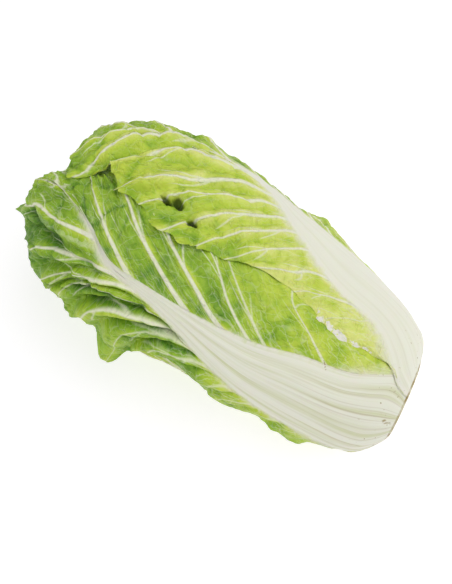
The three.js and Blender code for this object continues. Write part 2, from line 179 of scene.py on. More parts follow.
def waver(x, y, seed):
    """Smooth noise from -1 to 1 with features about one unit across."""
    i, j = np.floor(x), np.floor(y)
    u, v = x - i, y - j
    u, v = u * u * (3 - 2 * u), v * v * (3 - 2 * v)
    low = lerp(chance(i, j, seed), chance(i + 1, j, seed), u)
    high = lerp(chance(i, j + 1, seed), chance(i + 1, j + 1, seed), u)
    return 2 * lerp(low, high, v) - 1


def crumple(x, y, seed, octaves=3):
    """Several sizes of noise together."""
    total = 0.0
    for k in range(octaves):
        total = total + waver(x * 1.9 ** k + 7.3 * k, y * 1.9 ** k - 3.1 * k, seed + k) * 0.5 ** k
    return total


def linear(hexadecimal):
    """A colour written as on screen, as Blender's own linear values."""
    parts = [int(hexadecimal[k:k + 2], 16) / 255 for k in (0, 2, 4)]
    return tuple(p / 12.92 if p <= 0.04045 else ((p + 0.055) / 1.055) ** 2.4 for p in parts)


# ---- The space that the layers are laid in -------------------------------------
# A place is its distance p along the outer profile, counted so that BUTT holds, its
# angle around the axis (0 on top, 90 at the front) and its height above the profile.


def measured_profile():
    """Distance p, distance along the axis and radius on a curve through the PROFILE points."""
    corners = np.array(PROFILE, float)
    corners = np.vstack([2 * corners[0] - corners[1], corners, 2 * corners[-1] - corners[-2]])
    points = []
    for k in range(1, len(corners) - 2):
        a, b, c, d = corners[k - 1:k + 3]
        ta = 0.0
        tb = ta + np.linalg.norm(b - a) ** 0.5
        tc = tb + np.linalg.norm(c - b) ** 0.5
        td = tc + np.linalg.norm(d - c) ** 0.5
        t = np.linspace(tb, tc, 40, endpoint=False)[:, None]
        ab = lerp(a, b, (t - ta) / (tb - ta))
        bc = lerp(b, c, (t - tb) / (tc - tb))
        cd = lerp(c, d, (t - tc) / (td - tc))
        abc = lerp(ab, bc, (t - ta) / (tc - ta))
        bcd = lerp(bc, cd, (t - tb) / (td - tb))
        points.append(lerp(abc, bcd, (t - tb) / (tc - tb)))
    points = np.vstack(points + [corners[-2:-1]])
    run = np.r_[0, np.cumsum(np.linalg.norm(np.diff(points, axis=0), axis=1))]
    return run - np.interp(BUTT[0], points[:, 0], run) + BUTT[1], points[:, 0], points[:, 1]


RUN, RUN_X, RUN_R = measured_profile()
HEAD_END = RUN[-1]


def profile_at(p):
    return np.interp(p, RUN, RUN_X), np.interp(p, RUN, RUN_R)


def outward_at(p):
    """The direction in which height is measured, along the axis and away from it."""
    x0, r0 = profile_at(p - 2)
    x1, r1 = profile_at(p + 2)
    length = np.hypot(x1 - x0, r1 - r0) + 1e-9
    share = smooth(p, -5, 40)
    ox = -(r1 - r0) / length * share
    outward = (1 - share) + (x1 - x0) / length * share
    size = np.hypot(ox, outward)
    return ox / size, outward / size


def place(x, radius, angle):
    """A point of the row frame from a distance along the axis, a radius and an angle."""
    turn = np.radians(angle)
    apart = (angle - TUCK_ANGLE[0] + 540) % 360 - 180
    offset = (x - TUCK_ALONG[0]) / TUCK_ALONG[1]
    radius = radius * (1 - TUCK * np.exp(-((apart / TUCK_ANGLE[1]) ** 2) - offset ** 2))
    z = AXIS_HEIGHT + AXIS_SLOPE * x + radius * np.cos(turn) * SQUASH
    low = np.maximum(SETTLE_HEIGHT - z, 0)
    z = z + SETTLE * (low / (SETTLE_HEIGHT + SETTLE)) ** 2
    y = -radius * np.sin(turn)
    # The head rounds off towards the cut.
    inward = x * CUT_NORMAL[0] - y * CUT_NORMAL[1] - (z - AXIS_HEIGHT) * CUT_NORMAL[2]
    bent = 1 - np.sqrt(1 - np.clip(1 - inward / CUT_ROUND, 0, 1) ** 2)
    kept = 1 - CUT_ROUND * bent / np.maximum(np.interp(x, RUN_X, RUN_R), 2 * CUT_ROUND)
    return np.stack([CUT_X - x, y * kept, AXIS_HEIGHT + (z - AXIS_HEIGHT) * kept], -1)


def from_cut(points):
    """Distance in mm from the stem cut into the head."""
    return (np.array((CUT_X, 0.0, AXIS_HEIGHT)) - points) @ np.array(CUT_NORMAL)


def head_point(p, angle, height):
    x, r = profile_at(p)
    ox, outward = outward_at(p)
    return place(x + height * ox, np.maximum(r + height * outward, 0), angle)


def degrees_per_mm(p):
    return 180 / (math.pi * np.maximum(profile_at(p)[1], 6))


# ---- What each new leaf lies on -------------------------------------------------


def stack_depth(sizes, p):
    """How deep under the outer profile the core lies, in mm."""
    return (sizes.stack_at_cut + (sizes.stack - sizes.stack_at_cut) * smooth(p, 0, 45)) / MM


class Bed:
    """Height of the layers already laid, over the whole head."""

    STEP = 1.5    # mm along
    TURN = 1.5    # degrees around
    START = -12.0
    ROWS = 274
    COLUMNS = 240

    def __init__(self, sizes):
        p = self.START + self.STEP * np.arange(self.ROWS)
        self.heights = np.repeat(-stack_depth(sizes, p)[:, None], self.COLUMNS, axis=1)

    def raise_to(self, p, angle, height):
        i = np.clip(np.rint((p - self.START) / self.STEP), 0, self.ROWS - 1).astype(int)
        j = np.rint(angle / self.TURN).astype(int) % self.COLUMNS
        np.maximum.at(self.heights, (i, j), height)

    def spread(self, source, reach, mean):
        """The highest, or the mean, height within a reach in mm."""
        size = int(round(reach / self.STEP))
        rows = np.arange(self.ROWS)
        stack = [source[np.clip(rows + k, 0, self.ROWS - 1)] for k in range(-size, size + 1)]
        result = np.mean(stack, axis=0) if mean else np.max(stack, axis=0)
        p = self.START + self.STEP * rows
        sizes = np.minimum(np.rint(reach * degrees_per_mm(p) / self.TURN), 40).astype(int)
        total, best, count = result.copy(), result.copy(), np.ones((self.ROWS, 1))
        for k in range(1, sizes.max() + 1):
            use = (sizes >= k)[:, None]
            for turn in (k, -k):
                rolled = np.roll(result, turn, axis=1)
                total = total + np.where(use, rolled, 0)
                best = np.where(use, np.maximum(best, rolled), best)
                count = count + use
        return total / count if mean else best

    def settle(self):
        """The firm bed for a leaf's middle, and the closer one that its margin falls to."""
        self.firm = self.spread(self.spread(self.heights, 5.0, False), 6.0, True)
        self.close = self.spread(self.spread(self.heights, 1.5, False), 2.5, True)

    def at(self, p, angle, laid):
        y = np.clip((p - self.START) / self.STEP, 0, self.ROWS - 1.001)
        x = angle / self.TURN
        i, j = np.floor(y).astype(int), np.floor(x).astype(int)
        v, u = y - i, x - j
        a = laid[i, j % self.COLUMNS] * (1 - u) + laid[i, (j + 1) % self.COLUMNS] * u
        b = laid[i + 1, j % self.COLUMNS] * (1 - u) + laid[i + 1, (j + 1) % self.COLUMNS] * u
        return a * (1 - v) + b * v


# Outer faces of the leaves laid so far, by name, so that one can be laid again.
LAID = {}


# ---- The leaves -------------------------------------------------------------------


# What a leaf is unless its own list says otherwise. Stations start with a vein's number,
# from 0 at the base to 13 at the tip, except along the centre, which has distance and angle.
PLAIN_LEAF = {
    "ceiling": -5.0,            # a little above this height the leaf is held back near the cut
    "seat": (0.3, 0.3),         # air under the blade's margin, and under the petiole's sides
    "pit": 3.0,                 # how much larger and deeper the PITS are in this leaf
    "first": 22.0,              # distance at which the bare base starts
    "bare_end": 23.5,           # and at which the blade begins
    "rib": 0.8,                 # midrib, of the usual width and thickness
    "bow": both(VEIN_BOW),      # how far ahead, and aside, a vein runs before it bends
    "pleat": both([(0, 1.5), (5, 3), (13, 3)]),     # rise of each vein over the blade
    "flare": both([(0, 0), (13, 0)]),               # lift of the margin
    "drop": both([(0, 7.0), (13, 7.0)]),            # fall of the margin from the envelope
    "veins": both([(0, 0.4), (6, 0.8), (13, 0.8)]),             # power of each vein
    "tone": both([(0, 0.1, 0.2), (6, 0.35, 0.55), (13, 0.6, 0.75)]),    # at the rib, at the margin
    "crumple": both([(0, 1.0), (13, 3.0)]),         # depth of the swellings
    "ruffle": [(0, 1.0), (4, 2.0), (13, 3.0)],
    "curl": [(0, 0.0), (13, 30.0)],                 # how far the margin rolls up, in degrees
    "torn": [(0, 0.0), (13, 0.0)],
    "tone_bend": 1.2,           # how late the tone turns to the margin's
    "lumps": [],                # distance, angle, reach and height
    "folds": [],                # reach, height and path; painted shade and tone paths and marks are alike
    # tone changed along paths: painted shade along creases and valleys, and paler tone in places
    "painted_shade_and_tone": [],
    "marks": [],
    "teeth": 0.03,
    "slit": 3,                  # how narrow the pleats' ridges are
    "envelope": None,           # height that an outer leaf spans the hollows at
    "ridges": 0.35,             # height of the midrib's ridges
    "groove": 0.5,              # colour of the midrib's grooves
    "rows": 9,                  # rows from one vein to the next
    "columns": (7, 36),         # columns across half of the midrib, and half of the blade
    "seed": 1,
}


def wrapping_leaf(name, angle, reach=1.0, length=1.0, sway=0.0, **rest):
    """A leaf with its edge at the usual reach on both sides of its midrib."""

    def stretched(p):
        return p + (length - 1) * max(p - 150, 0) * 2

    def edge(side):
        return [
            (k, stretched(p) + 3 * math.sin(1.7 * k + angle), angle + sway * (k / 13) ** 2
             + side * EDGE_REACH[k] * reach * (1 + 0.05 * math.sin(2.3 * k + side + angle)))
            for k, p in enumerate(EDGE_ALONG)
        ]

    high, low = edge(1), edge(-1)
    low[-1] = high[-1]
    starts = [stretched(p) for p in VEIN_START]
    shape = {
        "name": name,
        "centre": [(-8, angle), (150, angle), (stretched(316), angle + sway)],
        "start": both(starts),
        "edge": {"high": high, "low": low},
    }
    return {**PLAIN_LEAF, **shape, **rest}


HEART_TONE = [(0, 0.0, 0.0), (8, 0.05, 0.12), (13, 0.15, 0.4)]
HEART_CRUMPLE = [(0, 1.0), (9, 2.5), (13, 6.0)]
HEART_LEAVES = [
    wrapping_leaf(f"heart_leaf_{k + 1}", angle, length=1.13 + 0.01 * k, reach=1.3, sway=24, rib=0.5,
                  rows=7, columns=(4, 24), tone=both(HEART_TONE), crumple=both(HEART_CRUMPLE), seed=20 + k)
    for k, angle in enumerate((60, -100, 165, -20, 110, -150))
]

# A leaf that reaches the stem cut starts beyond it.
TO_CUT = {"first": -14.0, "bare_end": 16.0}
SIDE = {**TO_CUT, "envelope": -6.0}
INNER_LEAVES = [
    wrapping_leaf("inner_leaf_top", 8, length=1.06, sway=6, seed=31),
    wrapping_leaf("inner_leaf_back", -112, length=1.1, sway=-10, ceiling=-2.0, seed=32, **SIDE),
    wrapping_leaf("inner_leaf_front", 124, length=1.08, sway=-6, ceiling=-1.5, seed=33, **SIDE),
]

UNDER_LEAF = wrapping_leaf("under_leaf", 180, reach=1.1, length=1.03, rib=0.95, envelope=0.0, ceiling=-2.5,
                           drop=both([(0, 26.0), (13, 22.0)]), seed=41, **TO_CUT)

# Creases of the front leaf, which are folded in, and darkened with painted shade along them.
CREASES = [
    [(194, 51), (215, 53), (232, 56), (246, 64)],
    [(172, 52), (196, 53), (216, 58), (232, 64)],
    [(152, 54), (172, 56), (194, 59), (210, 64)],
]
SHORT_CREASE = [(150, 61), (176, 63), (198, 70)]
LONG_CREASE = [(240, 47), (262, 50), (290, 52), (308, 50)]

FRONT_LEAF = {
    **PLAIN_LEAF,
    "name": "front_leaf",
    "ceiling": 0.5,
    "seat": (0.3, -0.6),
    "pit": 1.5,
    "first": -14.0,
    "bare_end": 3.0,
    "centre": [
        (-8, 51), (20, 51), (84, 51.5), (115, 52.5), (140, 50), (167, 46), (195, 43), (228, 41), (245, 34),
        (262, 28), (282, 22), (320, 28),
    ],
    "rib": 1.1,
    "start": {
        "high": [20, 42, 62, 80, 98, 118, 135, 146, 154, 168, 204, 222, 246, 290],
        "low": [20, 42, 69, 90, 109, 120, 141, 153, 167, 190, 212, 240, 262, 290],
    },
    "edge": {
        "high": [
            (0, 26, 86), (1, 50, 88), (1.6, 66, 100), (2, 80, 90), (3, 102, 86), (3.7, 124, 96),
            (4.2, 132, 86), (5, 143, 80), (5.5, 166, 77), (6, 188, 82), (6.5, 200, 98), (7, 212, 105),
            (7.5, 226, 93), (8, 238, 93), (8.6, 250, 90), (9, 256, 82), (9.4, 262, 82), (10, 272, 88),
            (10.5, 288, 90), (11, 299, 78), (11.3, 304, 74), (11.6, 329, 79), (12, 322, 56),
            (12.5, 319, 42), (13, 316, 30),
        ],
        "low": [
            (0, 24, -6), (1, 70, -8), (2, 128, -10), (3, 156, -11), (4, 184, -9), (5, 198, -8),
            (6, 236, -3), (7, 247, -1), (8, 258, 1), (9, 269, 3), (10, 278, 6), (11, 291, 10),
            (12, 306, 17), (13, 316, 30),
        ],
    },
    "bow": {
        "high": [
            (0, 0.72, 0.18), (5, 0.75, 0.1), (6, 0.85, -0.3), (9, 0.9, -0.3), (10, 0.8, 0.1), (13, 0.7, 0.1),
        ],
        "low": [(0, 0.5, 0.42), (13, 0.5, 0.42)],
    },
    "pleat": {
        "high": [(0, 1.0), (4, 2.5), (5, 6), (7, 10), (10, 8), (13, 3)],
        "low": [(0, 0.8), (5, 1.2), (10, 1.2), (13, 1.5)],
    },
    "flare": {
        "high": [(0, -8), (1, -3), (2, 2), (3, 0), (4, 4), (6, 0), (13, 0)],
        "low": [(0, 0), (10, 0), (13, 2)],
    },
    "tone": {
        "high": [
            (0, 0.4, 0.55), (3, 0.46, 0.54), (6, 0.5, 0.58), (9, 0.48, 0.62), (11, 0.62, 0.8),
            (13, 0.68, 0.78),
        ],
        "low": [
            (0, 0.22, 0.28), (2, 0.37, 0.42), (5, 0.6, 0.6), (8, 0.68, 0.64), (11, 0.68, 0.66),
            (13, 0.72, 0.72),
        ],
    },
    "ruffle": [(0, 1.5), (5, 1.5), (8, 3.0), (13, 3.0)],
    "curl": [(0, 0.0), (5, 10.0), (7, 30.0), (10, 10.0), (13, 0.0)],
    "crumple": {
        "high": [(0, 1.0), (4, 1.4), (6, 2.4), (8, 5.0), (10, 8.0), (13, 8.0)],
        "low": [(0, 1.0), (4, 1.6), (7, 2.2), (9, 3.0), (11, 5.0), (13, 7.0)],
    },
    "lumps": [
        (332, 73, 7, 10), (210, 98, 9, 6), (262, 74, 8, 4), (252, 62, 7, -4), (262, 66, 4, -5),
        (238, 80, 6, -5), (278, 72, 6, -5),
    ],
    "folds": [
        (5.0, 6.0, [(236, 40), (262, 42), (284, 43), (300, 40), (314, 36)]),
        (4.0, -8.0, LONG_CREASE),
        *((2.2, -9.0, crease) for crease in CREASES),
        (2.2, -6.0, SHORT_CREASE),
        (3.0, 4.0, [(198, 56), (216, 61), (226, 65), (238, 78), (244, 90)]),
        (3.0, 3.0, [(252, 52), (268, 55), (284, 61), (298, 68)]),
        (2.5, -5.0, [(248, 57), (262, 61), (280, 68), (292, 74)]),
    ],
    "painted_shade_and_tone": [
        # paler near the base of the margin; the rest is painted shade along the creases
        (9.0, -0.12, [(60, 95), (110, 92)]),
        *((1.4, 0.5, crease) for crease in CREASES),
        (1.4, 0.45, SHORT_CREASE),
        (2.2, 0.3, LONG_CREASE),
    ],
    "marks": [
        (1.6, 1.0, [(17, 41), (5, 50)]), (2.0, 0.9, [(7, 66), (2, 74)]), (0.9, 1.0, [(71, 22), (66, 27)]),
    ],
    "teeth": 0.035,
    "drop": {"high": [(0, 0.0), (13, 2.0)], "low": [(0, 6.0), (7, 6.0), (11, 5.0), (13, 3.0)]},
    "slit": 6,
    "veins": {
        "high": [
            (0, 0.3), (4, 0.4), (5, 0.4), (6, 0.45), (7, 0.4), (8, 0.6), (9, 0.5), (10, 0.6), (11, 0.8),
            (12, 1.0), (13, 1),
        ],
        "low": [
            (0, 0.1), (1, 0.2), (2, 0.55), (3, 0.15), (4, 0.5), (5, 0.6), (6, 1.2), (7, 0.1), (8, 1.2),
            (9, 0.1), (10, 1.1), (11, 0.1), (12, 0.7), (13, 1),
        ],
    },
    "envelope": -1.0,
    "ridges": 1.0,
    "groove": 1.0,
    "rows": 16,
    "columns": (18, 64),
    "seed": 51,
}

TOP_LEAF = {
    **PLAIN_LEAF,
    "name": "top_leaf",
    "ceiling": 1.0,
    "seat": (-1.1, -1.8),
    "pit": 0.0,
    "first": -14.0,
    "bare_end": 3.0,
    "tone_bend": 3.0,
    "centre": [
        (-8, -50), (20, -50), (60, -46), (88, -42), (108, -42), (129, -45), (147, -48), (169, -55),
        (190, -56), (205, -50), (235, -42), (265, -40), (320, -42),
    ],
    "rib": 1.1,
    "start": {
        "high": [20, 40, 60, 74, 99, 122, 136, 147, 156, 166, 183, 206, 240, 285],
        "low": [24, 45, 62, 78, 99, 120, 136, 148, 158, 168, 185, 208, 240, 285],
    },
    "edge": {
        "high": [
            (0, 28, -6), (1, 50, 2), (2, 82, 4), (3, 112, -1), (4, 143, 1), (5, 163, 7), (6, 184, 11),
            (6.5, 194, 16), (7, 206, 14), (7.5, 218, 15), (8, 232, 10), (9, 250, 7), (10, 270, -3),
            (10.4, 274, 2), (11, 288, 17), (11.5, 298, 12), (12, 306, -4), (12.5, 306, -24), (13, 312, -42),
        ],
        "low": [
            (0, 34, -95), (1, 60, -93), (2, 86, -90), (3, 106, -86), (4, 134, -86), (5, 158, -94),
            (6, 186, -102), (7, 206, -106), (8, 228, -108), (9, 248, -108), (10, 268, -104), (11, 288, -92),
            (12, 303, -66), (13, 312, -42),
        ],
    },
    "bow": {
        "high": [
            (0, 0.5, 0.36), (9, 0.5, 0.36), (10, 0.55, 0.3), (11, 0.75, -0.05), (12, 0.7, 0.0),
            (13, 0.5, 0.3),
        ],
        "low": VEIN_BOW,
    },
    "pleat": {
        "high": [(0, 0.6), (4, 1.5), (7, 3), (10, 5), (13, 3)],
        "low": [(0, 0.5), (5, 1.5), (13, 2.5)],
    },
    "flare": {
        "high": [(0, 0), (13, 0)],
        "low": [(0, -5), (2.7, -5), (3.5, 9), (4.8, 11), (5.6, -2), (7, -3), (13, 0)],
    },
    "tone": {
        "high": [
            (0, -0.05, -0.05), (1, 0.04, -0.06), (3, 0.18, 0.08), (5, 0.24, 0.36), (8, 0.3, 0.44),
            (10, 0.3, 0.4), (11, 0.46, 0.6), (13, 0.5, 0.6),
        ],
        "low": [(0, 0.1, 0.2), (3, 0.36, 0.36), (5, 0.4, 0.4), (7, 0.6, 0.6), (13, 0.55, 0.6)],
    },
    "ruffle": [(0, 0.1), (3, 0.4), (5, 2.4), (7, 3.2), (10, 2.6), (13, 2.0)],
    "curl": [(0, 0.0), (13, 0.0)],
    "crumple": {
        "high": [(0, 0.3), (3, 0.7), (5, 1.6), (7, 2.6), (9, 3.6), (11, 6.0), (13, 7.0)],
        "low": [(0, 2.0), (6, 3.0), (13, 6.0)],
    },
    "lumps": [
        (196, 16, 4.5, 6), (212, 15, 5, 7), (229, 12, 4.5, 6), (180, 15, 4, 4), (246, 9, 5, 5),
        (268, -24, 9, 3),
    ],
    "folds": [
        (3.0, -3.0, [(176, -33), (196, -26), (214, -18)]),
        (2.5, -3.0, [(160, -31), (178, -29), (192, -25)]),
        (4.5, 4.0, [(157, -6), (172, -12), (184, -9), (194, -6), (204, -9), (216, -11), (232, -4)]),
        (3.0, -4.0, [(162, -1), (178, -3), (196, 0), (212, -3), (226, 1)]),
        (3.5, 3.0, [(240, -12), (256, -7), (270, -4)]),
        (3.0, -6.0, [(244, -22), (262, -14), (274, -4), (280, 6)]),
        (4.0, 2.5, [(230, -62), (262, -52), (290, -46)]),
    ],
    "painted_shade_and_tone": [
        # a darker band near the margin, partly painted shade of the valley there and partly the leaf's own
        # darker green; then a paler tip
        (4.0, 0.22, [(157, 3), (178, 6), (196, 9), (212, 7), (232, 7), (244, 5)]),
        (10.0, -0.14, [(262, -30), (284, -20), (296, -30)]),
    ],
    "teeth": 0.045,
    "torn": [(0, 0.0), (0.6, 0.0), (1.0, 1.0), (2.4, 1.0), (3.0, 0.0), (13, 0.0)],
    "drop": {"high": [(0, 4.0), (13, 4.0)], "low": [(0, 6.0), (13, 6.0)]},
    "slit": 4,
    "veins": {
        "high": [
            (0, 0.15), (1, 0.3), (2, 0.4), (3, 0.6), (4, 0.7), (5, 0.6), (6, 0.8), (7, 0.9), (8, 0.8),
            (9, 1.2), (10, 1.2), (11, 1.1), (12, 0.9), (13, 0.8),
        ],
        "low": [(0, 0.3), (6, 0.7), (13, 0.8)],
    },
    "envelope": 0.0,
    "ridges": 0.3,
    "groove": 0.25,
    "rows": 16,
    "columns": (18, 64),
    "seed": 61,
}

ALL_LEAVES = HEART_LEAVES + INNER_LEAVES + [UNDER_LEAF, FRONT_LEAF, TOP_LEAF]


def stations_at(stations, phase, column=1):
    """A smooth value at each phase through one column of a leaf's stations."""
    return along([(station[0], station[column]) for station in stations], phase)


class Layout:
    """The flat layout of a leaf: one row per station along it, one column per station across."""

    def __init__(self, leaf):
        self.leaf = leaf
        tip = len(leaf["start"]["high"]) - 1
        self.tip = tip
        steps = np.arange(tip * leaf["rows"] + 1) / leaf["rows"]
        part = steps % 1
        veined = np.floor(steps) + part - 0.5 * np.sin(4 * np.pi * part) / (4 * np.pi)
        bare_end = leaf["bare_end"]
        bare = np.linspace(leaf["first"], bare_end, 8)
        bud = np.linspace(0, 1, 6, endpoint=False)[1:]
        self.phase = np.r_[np.zeros(len(bare) + len(bud)), veined]
        self.grown = np.r_[np.zeros(len(bare)), bud, np.ones(len(veined))]
        self.bare_p = np.r_[bare, np.full(len(bud) + len(veined), bare_end)]
        ribs, blades = leaf["columns"]
        halves = [self.half(side, ribs, blades) for side in (-1, 1)]
        join = lambda key: np.hstack([halves[0][key][:, :0:-1], halves[1][key]])
        self.p, self.angle = join("p"), join("angle")
        self.across, self.share = join("across"), join("share")
        self.side = np.sign(self.across)
        self.rib_across = np.clip(np.abs(self.across), 0, 1)
        self.phases = self.phase[:, None] + 0 * self.p

    def shared(self, side, key, column=1):
        """One half's stations as a column, which turns into the mean of both halves at the tip."""
        own, other = ("high", "low") if side > 0 else ("low", "high")
        even = smooth(self.phase, self.tip - 2, self.tip) / 2
        own, other = (stations_at(self.leaf[key][half], self.phase, column) for half in (own, other))
        return lerp(own, other, even)[:, None]

    def halves(self, key, column=1):
        """The same over the whole leaf, with each half's own value."""
        return np.where(self.across < 0, self.shared(-1, key, column), self.shared(1, key, column))

    def half(self, side, ribs, blades):
        leaf, phase = self.leaf, self.phase
        key = "high" if side > 0 else "low"
        start = lerp(self.bare_p, along(list(enumerate(leaf["start"][key])), phase), self.grown)
        taper = 1 - smooth(phase, self.tip - 2, self.tip)
        width = along(RIB_WIDTH, start) * leaf["rib"] * taper * degrees_per_mm(start)
        middle = along(leaf["centre"], start)
        rib_share = np.linspace(0, 1, ribs + 1)[None, :]
        share = (np.arange(1, blades + 1) / blades)[None, :]
        edge_p, edge_angle = (stations_at(leaf["edge"][key], phase, column)[:, None] for column in (1, 2))
        ahead, aside = (self.shared(side, "bow", column) for column in (1, 2))
        notch = NOTCH * (0.5 - 0.5 * np.cos(2 * np.pi * phase))
        teeth = leaf["teeth"] * crumple(phase * 1.9, phase * 0 + side * 5, leaf["seed"])
        teeth = teeth + 0.6 * leaf["teeth"] * waver(phase * 6.3, phase * 0 + side * 5, leaf["seed"] + 9)
        teeth = teeth * (1 + 1.2 * along(leaf["torn"], phase))
        teeth = (teeth - notch) * smooth(self.tip - phase, 0, 1)
        t = share * (1 + teeth[:, None] * share ** 3) * self.grown[:, None]
        border = middle + side * width
        p = start[:, None] + (edge_p - start[:, None]) * (2 * t * (1 - t) * ahead + t * t)
        angle = border[:, None] + (edge_angle - border[:, None]) * (2 * t * (1 - t) * aside + t * t)
        rows = len(phase)
        return {
            "p": np.hstack([np.repeat(start[:, None], ribs + 1, 1), p]),
            "angle": np.hstack([middle[:, None] + side * width[:, None] * rib_share, angle]),
            "across": np.repeat(side * np.hstack([rib_share, 1 + share]), rows, 0),
            "share": np.hstack([np.zeros((rows, ribs + 1)), np.repeat(share, rows, 0)]),
        }


def curled(layout, leaf):
    """The layout with its margin rolled up, and how far that lifts it."""
    p, angle = layout.p.copy(), layout.angle.copy()
    ribs, blades = leaf["columns"]
    middle = ribs + blades
    start = int(blades * CURL_START)
    rolled = np.zeros_like(p)
    scale = 1 / degrees_per_mm(p)
    turn = np.radians(along(leaf["curl"], layout.phase))
    for side in (-1, 1):
        at = middle + side * (ribs + start)
        end = middle + side * middle
        columns = np.arange(at, end + side, side)
        reach = np.hypot(p[:, end] - p[:, at], (angle[:, end] - angle[:, at]) * scale[:, at])
        wild = turn * (0.45 + 0.9 * waver(layout.phase * 1.7, layout.phase * 0 + side, leaf["seed"] + 5))
        wild = wild * (1 - smooth(layout.phase, layout.tip - 1.5, layout.tip))
        bend = np.where(np.abs(wild) < LEAST_CURL, LEAST_CURL, wild)
        for column in columns:
            part = abs(column - at) / len(columns)
            turned = bend * part
            ahead = np.sin(turned) / bend
            p[:, column] = layout.p[:, at] + (layout.p[:, end] - layout.p[:, at]) * ahead
            angle[:, column] = layout.angle[:, at] + (layout.angle[:, end] - layout.angle[:, at]) * ahead
            rolled[:, column] = reach * (1 - np.cos(turned)) / bend
    return p, angle, rolled


def puckered(p, angle, seed):
    """Rounded swellings of several sizes with creases between them, from 0 to about 1."""
    across = angle / degrees_per_mm(p)
    u = p + 5 * waver(p / 17, across / 17, seed + 1)
    v = across + 5 * waver(p / 17 + 40, across / 17, seed + 2)
    total = 0.0
    for k, size in enumerate((17.0, 9.0, 5.0)):
        swell = np.abs(waver((u + 0.4 * v) / size, (v - 0.4 * u) / size, seed + 3 + k))
        total = total + (1 - np.exp(-4.0 * swell)) * 0.62 ** k
    return total * 0.5


def near_paths(lumps, folds, p, angle):
    """The sum of amounts that fade away from (p, angle) spots and from paths, in mm."""
    scale = 1 / degrees_per_mm(p)
    total = 0 * p
    for at, turn, reach, height in lumps:
        far = np.hypot(p - at, (angle - turn) * scale)
        total = total + height * np.exp(-(far / reach) ** 2)
    for reach, height, path in folds:
        near = 99 + 0 * p
        for (p0, angle0), (p1, angle1) in zip(path, path[1:]):
            run, turn = p1 - p0, (angle1 - angle0) * scale
            ahead, aside = p - p0, (angle - angle0) * scale
            t = np.clip((ahead * run + aside * turn) / (run * run + turn * turn), 0, 1)
            near = np.minimum(near, np.hypot(ahead - t * run, aside - t * turn))
        total = total + height * np.exp(-near / reach)
    return total


def stem_cut(points):
    """For each column, the last row beyond the stem cut and the share of the way on to it."""
    inward = from_cut(points)
    last = np.where(inward <= 0, np.arange(len(points))[:, None], -1).max(axis=0)
    columns = np.arange(points.shape[1])
    beyond, kept = inward[last, columns], inward[np.minimum(last + 1, len(points) - 1), columns]
    return last, np.clip(beyond / np.minimum(beyond - kept, -1e-9), 0, 1)


def ended(values, last, share):
    """Values of a leaf face with every row beyond the stem cut brought back to it."""
    columns = np.arange(values.shape[1])
    share = share.reshape((-1,) + (1,) * (values.ndim - 2))
    at_cut = lerp(values[last, columns], values[np.minimum(last + 1, len(values) - 1), columns], share)
    beyond = np.arange(len(values))[:, None] <= last
    return np.where(beyond.reshape(beyond.shape + (1,) * (values.ndim - 2)), at_cut, values)


def blade_lift(layout, leaf, sizes, p, angle):
    """Rise of a blade over its bed, and the swellings and the folds of its own in it."""
    share, phase, grown = layout.share, layout.phases, layout.grown[:, None]
    ridge = 1 - np.abs(np.sin(np.pi * phase)) ** leaf["slit"]
    pleat = layout.halves("pleat") * ridge * smooth(share, 0, 0.35) * (1 - 0.75 * smooth(share, 0.7, 1))
    lift = (pleat + layout.halves("flare") * share ** 2) * grown
    ruffle = along(leaf["ruffle"], phase) * smooth(share, 0.6, 1.0) * grown
    lift = lift + ruffle * (0.45 + 0.9 * crumple(phase * 2.6, layout.side * 3 + share * 2, leaf["seed"] + 3))
    swollen = puckered(p, angle, leaf["seed"] + 7) - SWELL_MIDDLE
    depth = sizes.crumple / MM * layout.halves("crumple") * smooth(share, 0.02, 0.35) * grown
    own = near_paths(leaf["lumps"], leaf["folds"], p, angle) * smooth(share, 0.0, 0.15) * grown
    return lift + depth * swollen + own, swollen, own


def midrib(layout, leaf, p):
    """How crowned each place is, from 1 on the middle of the midrib, and the ridges along it."""
    on_rib = np.where(layout.share > 0, 0, 1)
    crown = on_rib * (1 - layout.rib_across ** 2.5)
    across = layout.across
    wave = np.cos(across * RIB_WAVES + 0.8 * waver(across * 3, p * 0.01, leaf["seed"]))
    ridges = wave * (0.6 + 0.4 * waver(across * 5, p * 0.02, leaf["seed"] + 2))
    height = leaf["ridges"] * RIB_WAVE_HEIGHT * ridges * (on_rib * (1 - layout.rib_across ** 6))
    return crown, ridges, height * smooth(p, *RIDGE_FADE_IN) * (1 - smooth(p, *RIDGE_FADE_OUT))


def vein_lines(layout, leaf, sizes, p, angle):
    """Height of the veins that run along the whole phases, and what the finish reads of them."""
    share, phase, grown, on_blade = layout.share, layout.phases, layout.grown[:, None], layout.share > 0
    flat = head_point(p, angle, 0 * p)
    along_phase = np.gradient(flat, axis=0) / (np.gradient(layout.phase) + 1e-6)[:, None, None]
    along_share = np.gradient(flat, axis=1)
    size = np.linalg.norm(along_share, axis=-1) + 1e-6
    spacing = np.clip(np.linalg.norm(np.cross(along_phase, along_share), axis=-1) / size, 0, WIDEST_SPACING)
    ribs, blades = leaf["columns"]
    middle = ribs + blades
    out = np.cumsum(size, axis=1)
    out = np.abs(out - out[:, middle:middle + 1])
    border = np.minimum(out[:, middle + ribs], out[:, middle - ribs])[:, None]
    power = layout.halves("veins")
    width = lerp(*VEIN_WIDTH, share ** 0.7) * power * grown
    stray = VEIN_WANDER * waver(phase * 0.8, share * 3.5, leaf["seed"] + 11)
    wandering = phase + stray * smooth(share, 0, 0.3)
    apart = np.abs(wandering - np.rint(wandering)) * spacing
    vein = np.where(on_blade & (grown > 0.99), np.minimum(apart - width, FAR), FAR)
    raised = sizes.vein_height / MM * power * smooth(-vein, -1.6, 0.6) * lerp(1.0, 0.4, share)
    return np.where(on_blade, raised, 0), {
        "from_rib": np.where(on_blade, out - border, -(1 - layout.rib_across) * border),
        "vein": np.stack([wandering, share, layout.side], -1),
        "spacing": spacing * (0.02 + grown) + 99 * (grown < 0.99),
        "width": width,
        "power": power,
    }


